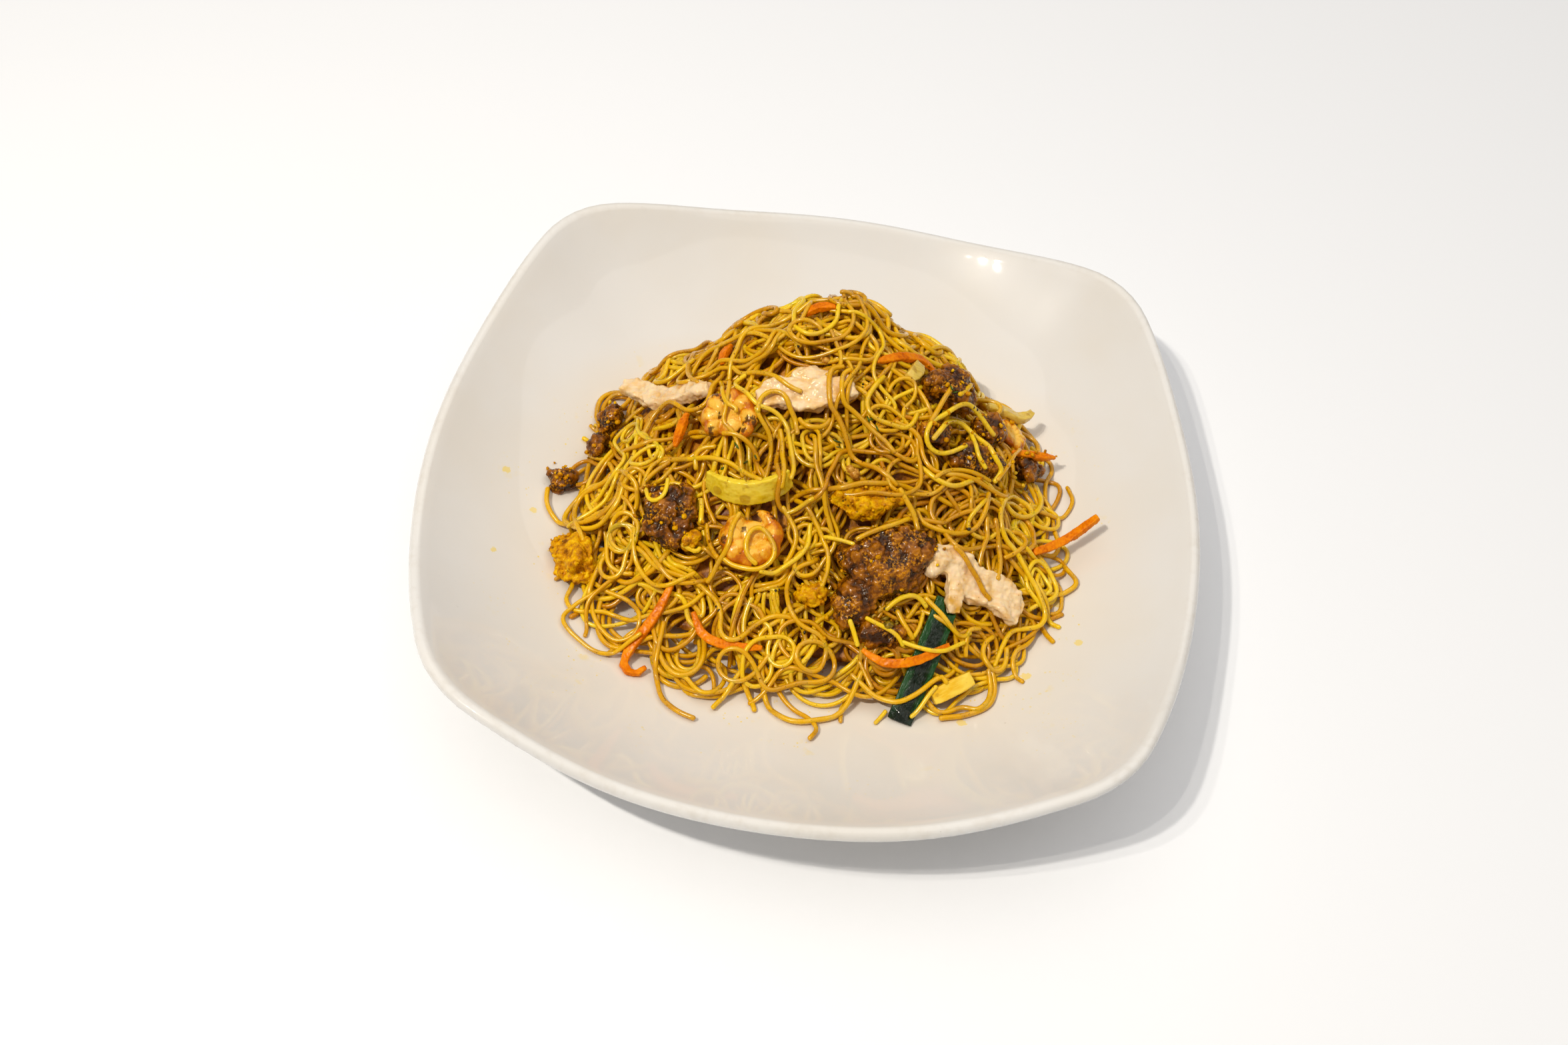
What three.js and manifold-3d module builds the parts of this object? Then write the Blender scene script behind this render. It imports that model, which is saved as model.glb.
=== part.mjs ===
import * as THREE from 'three';
import { mergeVertices } from 'three/addons/utils/BufferGeometryUtils.js';
import Module from 'manifold-3d';

// A bowl of curry stir-fried rice vermicelli, in millimetres, +Z up, with its front towards -Y.
// The origin is under the middle of the bowl, on the surface that the bowl stands on.

// Bowl: a round one, stretched to a square with bowed sides and raised corners
const HALF_WIDTH = 131;
const SIDE_RADIUS = 220.85;
const CORNER_RADIUS = 42.9;
const CORNER_RISE = 10.6;
const CORNER_SHARPNESS = 2.58;
const RIM_HEIGHT = 40;
const FLOOR_HEIGHT = 9;
const FLOOR_RADIUS = 39;
const WALL = 4.6;
const WALL_CURVE = 2.45;
const MOUTH_RADIUS = HALF_WIDTH - 0.8 * WALL;
const MOUTH_HEIGHT = RIM_HEIGHT - 0.11 * WALL;
const FOOT_RADIUS = 62;
const FOOT_WIDTH = 5;
const FOOT_ROUNDING = 1.2;
const BOWL_COLUMNS = 40;
const COLUMN_CROWDING = 0.12;
const WALL_ROWS = 9;
const WALL_ROW_CROWDING = 0.9;
const OUTER_ROW_STEP = 1.5;
const LIP_ROWS = 4;
const KEEP_OUT_BOTTOM = -10;
const KEEP_OUT_RADIUS = HALF_WIDTH + 20;

// Heap: an uneven mound that leans to the back of the bowl
const HEAP_CENTRE = new THREE.Vector2(1.9, -3.7);
const HEAP_HALF_WIDTH = 87.3;
const HEAP_FRONT = 71.9;
const HEAP_BACK = 82.2;
const HEAP_SQUARENESS = 2.62;
const HEAP_TOP = new THREE.Vector2(-0.9, 52.8);
const HEAP_RISE = 63.1;
const FRONT_STEEPNESS = 1.36;
const BACK_STEEPNESS = 2.1;
const CORE_DEPTH = 4.5;
const CORE_SHARE = 0.93;
const CORE_EDGE = 1;
const CORE_COLUMNS = 36;
const CORE_TOP_ROWS = 12;
const CORE_UNDER_ROWS = 4;
const HALF_ROW = 0.5;
const SHARE_RANGE = [1e-3, 4];
const SHARE_HALVINGS = 24;
const SLOPE_STEP = 2;

// Noodles
const NOODLE_RADIUS = 1;
const NOODLE_SIDES = 5;
const NOODLE_STEP = 5.5;
const NOODLE_REACH = 55;
const SHORTEST_NOODLE = 40;
const NOODLE_COUNT = 26;
const NOODLE_SEED = 71;
const TRIES_PER_NOODLE = 6;
const PLACES_TRIED = 80;
const START_SHARE = 0.92;
const ARCH_SPAN = 38;
const SHARPEST_CURL = 1 / 8;
const NOODLE_CLEARANCE = 2.2;
const NOODLE_SPARE = 0.6;
const NOODLE_REST = 1.65;
const NOODLE_PLUNGE = 1.6;
const HEAP_EDGE_SHARE = 0.97;
const STRIDE = 0.85 * NOODLE_STEP;
const LOOK_AHEAD = 2 * NOODLE_STEP;
const PROBES = [0.4 * NOODLE_STEP, STRIDE];
const SHORT_CURLS = { bend: 0.09, length: 9 };
const LONG_CURLS = { bend: 0.06, length: 21 };
const TURN_TRIALS = [0, 1, -1, 2, -2, 3, -3].map((shift) => shift * 0.05);

// Toppings: the waves of a strip, the dents of a lump, and a shrimp's taper and ends
const STRIP_WAVES = { across: 11, above: 7, aboveShare: 0.5 };
const DENT_WAVES = { forward: 3.1, side: 3.7, up: 4.3, lean: 2, swing: 2.9 };
const SHRIMP_SIDES = 8;
const SHRIMP_RINGS = 9;
const SHRIMP_TAPER = 0.45;
const SHRIMP_END_FULLNESS = 1.7;
const SHRIMP_END_SIZE = 0.08;
const SHRIMP_FLATNESS = 0.95;

// Fits
const GAP = 0.3;
const SAME_POINT = 1e-4;
const TINY_VOLUME = 1e-6;

const wasm = await Module();
wasm.setup();

function clamp(value, low, high) {
  return Math.min(Math.max(value, low), high);
}

// Seeded draws between 0 and 1
function drawsFrom(seed) {
  let state = seed >>> 0;
  return () => {
    state = (state + 0x6d2b79f5) >>> 0;
    let mixed = Math.imul(state ^ (state >>> 15), 1 | state);
    mixed = (mixed + Math.imul(mixed ^ (mixed >>> 7), 61 | mixed)) ^ mixed;
    return ((mixed ^ (mixed >>> 14)) >>> 0) / 4294967296;
  };
}

// Solids from meshes and back
function solidFrom(geometry) {
  const bare = geometry.clone();
  bare.deleteAttribute('normal');
  bare.deleteAttribute('uv');
  const merged = mergeVertices(bare, SAME_POINT);
  const corners = [];
  for (let i = 0; i < merged.index.count; i += 3) {
    const [a, b, c] = [0, 1, 2].map((k) => merged.index.getX(i + k));
    if (a !== b && b !== c && c !== a) corners.push(a, b, c);
  }
  const vertProperties = new Float32Array(merged.attributes.position.array);
  const build = (triVerts) => new wasm.Manifold(new wasm.Mesh({ numProp: 3, vertProperties, triVerts }));
  const solid = build(new Uint32Array(corners));
  return solid.volume() > 0 ? solid : build(new Uint32Array(corners.reverse()));
}

function geometryFrom(solid) {
  const mesh = solid.getMesh();
  const geometry = new THREE.BufferGeometry();
  geometry.setAttribute('position', new THREE.BufferAttribute(new Float32Array(mesh.vertProperties), 3));
  geometry.setIndex(new THREE.BufferAttribute(new Uint32Array(mesh.triVerts), 1));
  geometry.computeVertexNormals();
  return geometry;
}

function largestPiece(solid) {
  const pieces = solid.decompose();
  return pieces.reduce((best, piece) => (piece.volume() > best.volume() ? piece : best));
}

function moveEachPoint(geometry, place) {
  const position = geometry.attributes.position;
  const point = new THREE.Vector3();
  for (let i = 0; i < position.count; i += 1) {
    point.fromBufferAttribute(position, i);
    const moved = place(point.clone());
    position.setXYZ(i, moved.x, moved.y, moved.z);
  }
  return geometry;
}

// Outline of the bowl: four wide arcs joined by four tight ones
const SIDE_CENTRE = HALF_WIDTH - SIDE_RADIUS;
const CORNER_REACH = SIDE_RADIUS - CORNER_RADIUS;
const CORNER_CENTRE = (SIDE_CENTRE + Math.sqrt(2 * CORNER_REACH ** 2 - SIDE_CENTRE ** 2)) / 2;
const JOIN_TURN = Math.atan2(CORNER_CENTRE, CORNER_CENTRE - SIDE_CENTRE);
const JOIN_ANGLE = Math.atan2(
  SIDE_RADIUS * Math.sin(JOIN_TURN),
  SIDE_CENTRE + SIDE_RADIUS * Math.cos(JOIN_TURN),
);

function outlineRadius(angle) {
  const folded = Math.abs(angle - (Math.PI / 2) * Math.round(angle / (Math.PI / 2)));
  const [c, s] = [Math.cos(folded), Math.sin(folded)];
  if (folded < JOIN_ANGLE) return SIDE_CENTRE * c + Math.sqrt(SIDE_RADIUS ** 2 - (SIDE_CENTRE * s) ** 2);
  return CORNER_CENTRE * (c + s) + Math.sqrt(CORNER_RADIUS ** 2 - (CORNER_CENTRE * (c - s)) ** 2);
}

function cornerRise(radius, angle) {
  const towardsCorner = (0.5 - 0.5 * Math.cos(4 * angle)) ** CORNER_SHARPNESS;
  const beyondFoot = clamp((radius - FOOT_RADIUS) / (HALF_WIDTH - FOOT_RADIUS), 0, 2);
  return CORNER_RISE * towardsCorner * beyondFoot ** 2;
}

function wallHeight(radius) {
  const up = clamp((radius - FLOOR_RADIUS) / (MOUTH_RADIUS - FLOOR_RADIUS), 0, 2);
  return FLOOR_HEIGHT + (MOUTH_HEIGHT - FLOOR_HEIGHT) * up ** WALL_CURVE;
}

function wallSlope(radius) {
  const step = 0.01;
  return Math.atan2(wallHeight(radius + step) - wallHeight(radius - step), 2 * step);
}

// Height of the bowl's inner face at a place on the plan
function bowlHeight(x, y) {
  const angle = Math.atan2(y, x);
  const radius = (Math.hypot(x, y) * HALF_WIDTH) / outlineRadius(angle);
  return wallHeight(radius) + cornerRise(radius, angle);
}

function innerProfile(lift) {
  const points = [new THREE.Vector2(0, FLOOR_HEIGHT + lift)];
  for (let row = 0; row <= WALL_ROWS; row += 1) {
    const radius = THREE.MathUtils.lerp(FLOOR_RADIUS, MOUTH_RADIUS, (row / WALL_ROWS) ** WALL_ROW_CROWDING);
    points.push(new THREE.Vector2(radius, wallHeight(radius) + lift));
  }
  return points;
}

function lipProfile() {
  const slope = wallSlope(MOUTH_RADIUS);
  const centre = new THREE.Vector2(
    MOUTH_RADIUS + (WALL / 2) * Math.sin(slope),
    MOUTH_HEIGHT - (WALL / 2) * Math.cos(slope),
  );
  return Array.from({ length: LIP_ROWS - 1 }, (_, row) => {
    const turn = slope + Math.PI / 2 - (Math.PI * (row + 1)) / LIP_ROWS;
    return new THREE.Vector2(Math.cos(turn), Math.sin(turn)).multiplyScalar(WALL / 2).add(centre);
  });
}

function outerProfile() {
  const points = [];
  for (let row = WALL_ROWS; row >= 0; row -= OUTER_ROW_STEP) {
    const radius = THREE.MathUtils.lerp(FOOT_RADIUS, MOUTH_RADIUS, row / WALL_ROWS);
    const slope = wallSlope(radius);
    const below = new THREE.Vector2(Math.sin(slope), -Math.cos(slope)).multiplyScalar(WALL);
    points.push(new THREE.Vector2(radius, wallHeight(radius)).add(below));
  }
  return points;
}

function footProfile() {
  const inside = FOOT_RADIUS - FOOT_WIDTH;
  return [
    new THREE.Vector2(FOOT_RADIUS, FOOT_ROUNDING),
    new THREE.Vector2(FOOT_RADIUS - FOOT_ROUNDING, 0),
    new THREE.Vector2(inside + FOOT_ROUNDING, 0),
    new THREE.Vector2(inside, FOOT_ROUNDING),
    new THREE.Vector2(inside - FOOT_ROUNDING, FLOOR_HEIGHT - WALL),
    new THREE.Vector2(0, FLOOR_HEIGHT - WALL),
  ];
}

// A turned shape, stretched to the bowl's outline, with its columns crowded towards the corners
function stretchedLathe(profile) {
  const lathe = new THREE.LatheGeometry(profile, BOWL_COLUMNS);
  return moveEachPoint(lathe, (point) => {
    const radius = Math.hypot(point.x, point.z);
    const even = Math.atan2(point.z, point.x);
    const angle = even + COLUMN_CROWDING * Math.sin(4 * even);
    const reach = (radius * outlineRadius(angle)) / HALF_WIDTH;
    return new THREE.Vector3(
      reach * Math.cos(angle),
      reach * Math.sin(angle),
      point.y + cornerRise(radius, angle),
    );
  });
}

function bowlSolid() {
  const profile = [...innerProfile(0), ...lipProfile(), ...outerProfile(), ...footProfile()];
  return solidFrom(stretchedLathe(profile));
}

// All that lies under the bowl's inner face and a gap above it
function bowlKeepOut() {
  const inner = innerProfile(GAP);
  const top = inner[inner.length - 1].y;
  const profile = [
    ...inner,
    new THREE.Vector2(KEEP_OUT_RADIUS, top),
    new THREE.Vector2(KEEP_OUT_RADIUS, KEEP_OUT_BOTTOM),
    new THREE.Vector2(0, KEEP_OUT_BOTTOM),
  ];
  return solidFrom(stretchedLathe(profile));
}

// Heap: its foot, and the share of the way from its top to its foot
function footPoint(angle) {
  const [c, s] = [Math.cos(angle), Math.sin(angle)];
  const depth = s > 0 ? HEAP_BACK : HEAP_FRONT;
  const wide = Math.abs(c / HEAP_HALF_WIDTH) ** HEAP_SQUARENESS;
  const deep = Math.abs(s / depth) ** HEAP_SQUARENESS;
  const reach = (wide + deep) ** (-1 / HEAP_SQUARENESS);
  return new THREE.Vector2(HEAP_CENTRE.x + reach * c, HEAP_CENTRE.y + reach * s);
}

function isInsideFoot(x, y) {
  const [dx, dy] = [x - HEAP_CENTRE.x, y - HEAP_CENTRE.y];
  const depth = dy > 0 ? HEAP_BACK : HEAP_FRONT;
  const wide = Math.abs(dx / HEAP_HALF_WIDTH) ** HEAP_SQUARENESS;
  return wide + Math.abs(dy / depth) ** HEAP_SQUARENESS <= 1;
}

function heapShare(x, y) {
  const [dx, dy] = [x - HEAP_TOP.x, y - HEAP_TOP.y];
  let [low, high] = SHARE_RANGE;
  for (let i = 0; i < SHARE_HALVINGS; i += 1) {
    const middle = (low + high) / 2;
    if (isInsideFoot(HEAP_TOP.x + dx / middle, HEAP_TOP.y + dy / middle)) high = middle;
    else low = middle;
  }
  return (low + high) / 2;
}

function moundHeight(share, foot) {
  const bottom = bowlHeight(foot.x, foot.y) * share ** 2 + FLOOR_HEIGHT * (1 - share ** 2);
  const backward = Math.max(0, Math.sin(Math.atan2(foot.y - HEAP_TOP.y, foot.x - HEAP_TOP.x)));
  const steepness = THREE.MathUtils.lerp(FRONT_STEEPNESS, BACK_STEEPNESS, backward);
  return bottom + HEAP_RISE * (1 - share ** steepness);
}

// Height of the outermost noodles at a place on the plan
function heapHeight(x, y) {
  const share = heapShare(x, y);
  if (share >= 1) return bowlHeight(x, y);
  const outwards = new THREE.Vector2(x, y).sub(HEAP_TOP).divideScalar(share);
  return moundHeight(share, outwards.add(HEAP_TOP));
}

function coreHeight(x, y) {
  return Math.max(heapHeight(x, y) - CORE_DEPTH, bowlHeight(x, y) + GAP + CORE_EDGE);
}

function heapNormal(x, y) {
  const slopeX = (heapHeight(x + SLOPE_STEP, y) - heapHeight(x - SLOPE_STEP, y)) / (2 * SLOPE_STEP);
  const slopeY = (heapHeight(x, y + SLOPE_STEP) - heapHeight(x, y - SLOPE_STEP)) / (2 * SLOPE_STEP);
  return new THREE.Vector3(-slopeX, -slopeY, 1).normalize();
}

// The packed noodles under the ones that show: a ball pressed to the mound above and to the bowl below
function coreSolid(grow) {
  const rows = CORE_TOP_ROWS + CORE_UNDER_ROWS;
  const ball = new THREE.SphereGeometry(1, CORE_COLUMNS, rows);
  const pressed = moveEachPoint(ball, (point) => {
    const row = (Math.acos(clamp(point.y, -1, 1)) / Math.PI) * rows;
    const isTop = row < CORE_TOP_ROWS - HALF_ROW;
    const isEdge = !isTop && row < CORE_TOP_ROWS + HALF_ROW;
    const way = isTop ? row / CORE_TOP_ROWS : (rows - row) / CORE_UNDER_ROWS;
    const foot = footPoint(Math.atan2(point.z, point.x));
    const share = way * CORE_SHARE + (way * grow) / HEAP_FRONT;
    const x = THREE.MathUtils.lerp(HEAP_TOP.x, foot.x, share);
    const y = THREE.MathUtils.lerp(HEAP_TOP.y, foot.y, share);
    const under = bowlHeight(x, y) + GAP + (isEdge ? CORE_EDGE : 0);
    return new THREE.Vector3(x, y, isTop ? Math.max(coreHeight(x, y), under) + grow : under);
  });
  return solidFrom(pressed);
}

// Places on the heap for the toppings. Each maker gives a function from an extra margin to a mesh.
function heapCurve(places, lift) {
  const points = places.map(([x, y, extra = 0]) => {
    const ground = Math.max(heapHeight(x, y), bowlHeight(x, y));
    return new THREE.Vector3(x, y, ground + lift + extra);
  });
  return new THREE.CatmullRomCurve3(points);
}

function distanceToPath(places, x, y) {
  const point = new THREE.Vector3(x, y, 0);
  const nearest = new THREE.Vector3();
  let best = Infinity;
  for (let i = 0; i + 1 < places.length; i += 1) {
    const start = new THREE.Vector3(places[i][0], places[i][1], 0);
    const end = new THREE.Vector3(places[i + 1][0], places[i + 1][1], 0);
    new THREE.Line3(start, end).closestPointToPoint(point, true, nearest);
    best = Math.min(best, nearest.distanceTo(point));
  }
  return best;
}

// A flat or square strip that follows the heap, with ends that narrow and edges that wave
function strip(places, { width, thickness, lift = 0, steps = 8, tip = 0.7, wave = 0, tilt = 0 }) {
  const curve = heapCurve(places, lift);
  const length = curve.getLength();
  const make = (grow) => {
    const box = new THREE.BoxGeometry(1, 1, 1, steps, 1, 1);
    return moveEachPoint(box, (point) => {
      const along = clamp(point.x + 0.5 + (point.x * 2 * grow) / length, 0, 1);
      const centre = curve.getPointAt(along);
      const forward = curve.getTangentAt(along);
      const up = heapNormal(centre.x, centre.y).applyAxisAngle(forward, tilt);
      const side = new THREE.Vector3().crossVectors(up, forward).normalize();
      up.crossVectors(forward, side);
      const narrowing = 1 - (1 - tip) * Math.abs(2 * along - 1) ** 3;
      const across = point.y * (width * narrowing + 2 * grow) + wave * Math.sin(along * STRIP_WAVES.across);
      const above = point.z * (thickness * narrowing + 2 * grow)
        + wave * STRIP_WAVES.aboveShare * Math.cos(along * STRIP_WAVES.above);
      return centre.addScaledVector(side, across).addScaledVector(up, above);
    });
  };
  make.distance = (x, y) => distanceToPath(places, x, y) - width / 2;
  return make;
}

// A craggy lump, long along its turn
function lump([x, y], { length, width, height, turn = 0, lift = 0, crags = 0.16, detail = 2, seed = 1 }) {
  const up = heapNormal(x, y);
  const forward = new THREE.Vector3(Math.cos(turn), Math.sin(turn), 0);
  forward.addScaledVector(up, -forward.dot(up)).normalize();
  const side = new THREE.Vector3().crossVectors(up, forward);
  const centre = new THREE.Vector3(x, y, Math.max(heapHeight(x, y), bowlHeight(x, y)) + lift);
  const make = (grow) => {
    const ball = new THREE.IcosahedronGeometry(1, detail);
    return moveEachPoint(ball, (point) => {
      const { forward: long, side: wide, up: high, lean, swing } = DENT_WAVES;
      const dent = Math.sin(long * point.x + seed) * Math.sin(wide * point.y + 2 * seed)
        + Math.sin(high * point.z + 3 * seed + lean * point.x) * Math.cos(swing * point.y - seed);
      const reach = 1 + crags * dent;
      return centre.clone()
        .addScaledVector(forward, point.x * ((length / 2) * reach + grow))
        .addScaledVector(side, point.y * ((width / 2) * reach + grow))
        .addScaledVector(up, point.z * ((height / 2) * reach + grow));
    });
  };
  make.distance = (px, py) => {
    const [dx, dy] = [px - x, py - y];
    const along = dx * Math.cos(turn) + dy * Math.sin(turn);
    const across = dy * Math.cos(turn) - dx * Math.sin(turn);
    return (Math.hypot((2 * along) / length, (2 * across) / width) - 1) * (Math.min(length, width) / 2);
  };
  return make;
}

// A curled shrimp: a tapered body bent round most of a circle, with its back on the circle's rim
function curl([x, y], { rim, body, start, sweep, lift = 0 }) {
  const up = heapNormal(x, y);
  const forward = new THREE.Vector3(1, 0, 0).addScaledVector(up, -up.x).normalize();
  const side = new THREE.Vector3().crossVectors(up, forward);
  const centre = new THREE.Vector3(x, y, heapHeight(x, y) + lift);
  const make = (grow) => {
    const tube = new THREE.CylinderGeometry(1, 1, 1, SHRIMP_SIDES, SHRIMP_RINGS);
    return moveEachPoint(tube, (point) => {
      const along = 0.5 - point.y;
      const turn = start + sweep * along;
      const tapered = body * (1 - SHRIMP_TAPER * along);
      const rounding = Math.sin(Math.PI * along) * SHRIMP_END_FULLNESS + SHRIMP_END_SIZE;
      const thick = tapered * Math.min(1, Math.sqrt(rounding)) + grow;
      const outward = forward.clone().multiplyScalar(Math.cos(turn)).addScaledVector(side, Math.sin(turn));
      return centre.clone()
        .addScaledVector(outward, rim - tapered + point.x * thick)
        .addScaledVector(up, point.z * thick * SHRIMP_FLATNESS);
    });
  };
  make.distance = (px, py) => Math.hypot(px - x, py - y) - rim;
  return make;
}

const FINISHES = {
  glaze: { color: 0xe6ddd0, roughness: 0.25 },
  noodle: { color: 0xc39a2a, roughness: 0.45 },
  chicken: { color: 0xe6c9a4, roughness: 0.5 },
  shrimp: { color: 0xd98a3c, roughness: 0.4 },
  meat: { color: 0x6b3a14, roughness: 0.5 },
  egg: { color: 0xd89a1c, roughness: 0.6 },
  vegetable: { color: 0xb9b03a, roughness: 0.4 },
  scallion: { color: 0x1e4d22, roughness: 0.35 },
  carrot: { color: 0xd9701a, roughness: 0.4 },
};

const CARROT = { width: 3.1, thickness: 2.4, tip: 0.5 };

const TOPPINGS = [
  ['chicken_strip_left', 'chicken', [
    strip([[-72, 35, 9.5], [-64.5, 32, 3.5], [-55, 27, 0], [-47, 25, 0], [-40, 25, 0.5]],
      { width: 8, thickness: 5, lift: -0.5, tip: 0.6, wave: 0.8 }),
  ]],
  ['chicken_piece_back', 'chicken', [
    strip([[-22, 14], [-12, 18], [-3, 17], [8, 23]],
      { width: 10, thickness: 5, lift: 0.5, tip: 0.7, wave: 1 }),
    lump([-6, 24], { length: 14, width: 8, height: 5, turn: 0.2, lift: 0, detail: 1, seed: 3 }),
  ]],
  ['chicken_piece_front', 'chicken', [
    strip([[44, -25], [50, -26], [57, -28], [66, -30.5], [73.5, -32.5]],
      { width: 12, thickness: 5, lift: 1, tip: 0.7, wave: 1 }),
    lump([42.7, -26], { length: 11, width: 10, height: 8, turn: 1.5, lift: 1.5, crags: 0.1, seed: 4 }),
    strip([[49, -28], [50.4, -34], [51, -40.6]], { width: 5.4, thickness: 4, lift: 2, steps: 4 }),
  ]],
  ['shrimp_upper', 'shrimp', [
    curl([-31, 7.8], { rim: 11.2, body: 5.9, start: 4.2, sweep: -5.2, lift: 1.4 }),
    lump([-30.5, 7.5], { length: 12, width: 12, height: 7, lift: 2.2, detail: 1 }),
  ]],
  ['shrimp_front', 'shrimp', [
    curl([-18, -28.3], { rim: 11.5, body: 5.8, start: 2, sweep: 5.8, lift: 1.4 }),
    lump([-17.5, -28.3], { length: 12, width: 12, height: 7, lift: 2, detail: 1 }),
  ]],
  ['shrimp_right', 'shrimp', [
    curl([66, 38], { rim: 7.9, body: 4.4, start: -1, sweep: 3.9, lift: 0 }),
  ]],
  ['meat_left', 'meat', [
    lump([-46, -22], { length: 22, width: 17, height: 10, turn: 1.5, lift: 0, seed: 5 }),
  ]],
  ['meat_front', 'meat', [
    lump([27.5, -30], { length: 29, width: 22, height: 13, turn: 0.2, lift: 0.5, crags: 0.18, seed: 8 }),
    lump([18.5, -42], { length: 17, width: 12, height: 9, turn: 1.3, lift: 0, detail: 1, seed: 2 }),
    lump([27.5, -49.5], { length: 17, width: 8, height: 7, turn: 0.05, lift: -0.5, detail: 1, seed: 6 }),
  ]],
  ['meat_right_top', 'meat', [
    lump([41, 36], { length: 19, width: 14, height: 13, turn: 0.3, lift: 2, crags: 0.2, seed: 4 }),
  ]],
  ['meat_right_upper', 'meat', [
    lump([57, 31], { length: 13, width: 12, height: 9, turn: 1, lift: 1, crags: 0.2, detail: 1, seed: 7 }),
  ]],
  ['meat_right_inner', 'meat', [
    lump([38, 16], { length: 11, width: 8, height: 7, turn: 0.2, lift: -0.5, detail: 1, seed: 1 }),
  ]],
  ['meat_right_lower', 'meat', [
    lump([54, 15], { length: 20, width: 10, height: 8, turn: 0.3, lift: 0.5, crags: 0.2, seed: 9 }),
  ]],
  ['meat_right_edge', 'meat', [
    lump([74, 28], { length: 11, width: 9, height: 7, turn: 0.5, lift: 0, detail: 1, seed: 3 }),
  ]],
  ['meat_edge_back', 'meat', [
    lump([-75, 27], { length: 9, width: 7, height: 6, turn: 0.8, lift: 1.2, detail: 1, seed: 2 }),
  ]],
  ['meat_edge_middle', 'meat', [
    lump([-77, 15], { length: 9, width: 6, height: 6, turn: 1.6, lift: 1.2, detail: 1, seed: 5 }),
  ]],
  ['meat_edge_front', 'meat', [
    lump([-87, 1], { length: 10, width: 8, height: 6, turn: 0.5, lift: 2.6, detail: 1, seed: 7 }),
  ]],
  ['egg_left', 'egg', [
    lump([-77, -32], { length: 20, width: 15, height: 10, turn: 2.2, lift: 0.5, crags: 0.2, seed: 6 }),
  ]],
  ['egg_middle', 'egg', [
    lump([18, -13], { length: 22, width: 11, height: 8, turn: 0.1, lift: 0.8, crags: 0.18, seed: 2 }),
  ]],
  ['egg_small', 'egg', [
    lump([5, -42], { length: 11, width: 8, height: 7, turn: 0.2, lift: 0.6, crags: 0.2, detail: 1, seed: 4 }),
  ]],
  ['egg_crumb', 'egg', [
    lump([-37, -30], { length: 6, width: 4.4, height: 4.4, turn: 1.3, lift: 1.6, detail: 1, seed: 8 }),
  ]],
  ['cabbage_strip', 'vegetable', [
    strip([[-35, -11.5, 0], [-29, -15.5, 1.5], [-20, -17, 2.6], [-12, -14, 2], [-8, -9.5, 0]],
      { width: 9, thickness: 2.4, lift: 1.5, tip: 0.75, tilt: 0.9 }),
  ]],
  ['onion_piece', 'vegetable', [
    strip([[27, 32], [29, 36], [30, 41]], { width: 5, thickness: 3, lift: 1, steps: 4 }),
  ]],
  ['onion_strip_right', 'vegetable', [
    strip([[57, 45, 1], [62, 46.5, 3.5], [68.5, 47, 6], [72, 49, 9.5], [74, 52, 13]],
      { width: 4, thickness: 3, tip: 0.6 }),
  ]],
  ['bamboo_stick', 'vegetable', [
    strip([[47.5, -65.8], [53.5, -61.6], [59.5, -57.2]],
      { width: 5.4, thickness: 4.8, lift: 1.6, steps: 4, tip: 0.85 }),
  ]],
  ['scallion_strip', 'scallion', [
    strip([[49, -36], [46, -47], [42, -61], [38, -74]],
      { width: 8.6, thickness: 1.6, lift: 0.4, tip: 0.95, steps: 10 }),
  ]],
  ['carrot_over_scallion', 'carrot', [
    strip([[23, -56], [30, -59, 1], [40, -58, 3], [51, -50, 1]], { ...CARROT, lift: 1.6 }),
  ]],
  ['carrot_hook_left', 'carrot', [
    strip([[-41, -43], [-45, -53], [-51, -62], [-53, -68], [-49, -71.5], [-45.5, -68]],
      { ...CARROT, lift: 1.4, steps: 12 }),
  ]],
  ['carrot_front', 'carrot', [
    strip([[-33, -51], [-29, -57], [-21, -59.5], [-9, -59]], { ...CARROT, lift: 0.4 }),
  ]],
  ['carrot_out_right', 'carrot', [
    strip([[77, -8], [84, -3, 4], [91, 2, 9], [98, 7, 11]], { ...CARROT, lift: 0.8, tip: 0.75 }),
  ]],
  ['carrot_right', 'carrot', [
    strip([[67, 29], [75, 32, 3], [83.6, 35, 8.5]], { ...CARROT, lift: 1.4, tip: 0.4, steps: 5 }),
  ]],
  ['carrot_top_right', 'carrot', [
    strip([[15, 33], [24, 40], [31, 44], [36, 43]], { ...CARROT, lift: 0.6 }),
  ]],
  ['carrot_top', 'carrot', [
    strip([[-12, 47], [-7, 50], [-1, 50]], { ...CARROT, lift: 0, steps: 4 }),
  ]],
  ['carrot_shard_left', 'carrot', [
    strip([[-46, 14], [-47, 8], [-48, 1]], { ...CARROT, lift: 1.2, steps: 4 }),
  ]],
  ['carrot_back_left', 'carrot', [
    strip([[-37, 33], [-37, 38], [-35, 42]], { ...CARROT, lift: 0.6, steps: 4 }),
  ]],
];

// Short strands that stray over the bowl from the heap's foot, each from inside the heap outwards
const STRAYS = [
  [[-66, -16], [-79, -18], [-87, -15], [-91, -10], [-92, -4]],
  [[-42, -54], [-42, -68], [-39, -79], [-33, -84], [-27, -86]],
  [[-12, -62], [-16, -68], [-19, -74], [-22, -80]],
  [[-8, -63], [0, -72], [8, -77], [12, -82], [10, -87]],
  [[24, -61], [20, -72], [12, -78.5], [3, -80], [-5, -74], [-9, -62]],
  [[-62, -42], [-72, -49], [-76, -56], [-70, -62], [-60, -66], [-48, -58]],
  [[60, -45], [67, -54], [67, -64], [60, -69.5], [51, -72]],
  [[73, -24], [86, -19], [94, -14], [90, -6.5]],
  [[72, 12], [87, 15], [92, 22], [90, 29]],
];

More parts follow.
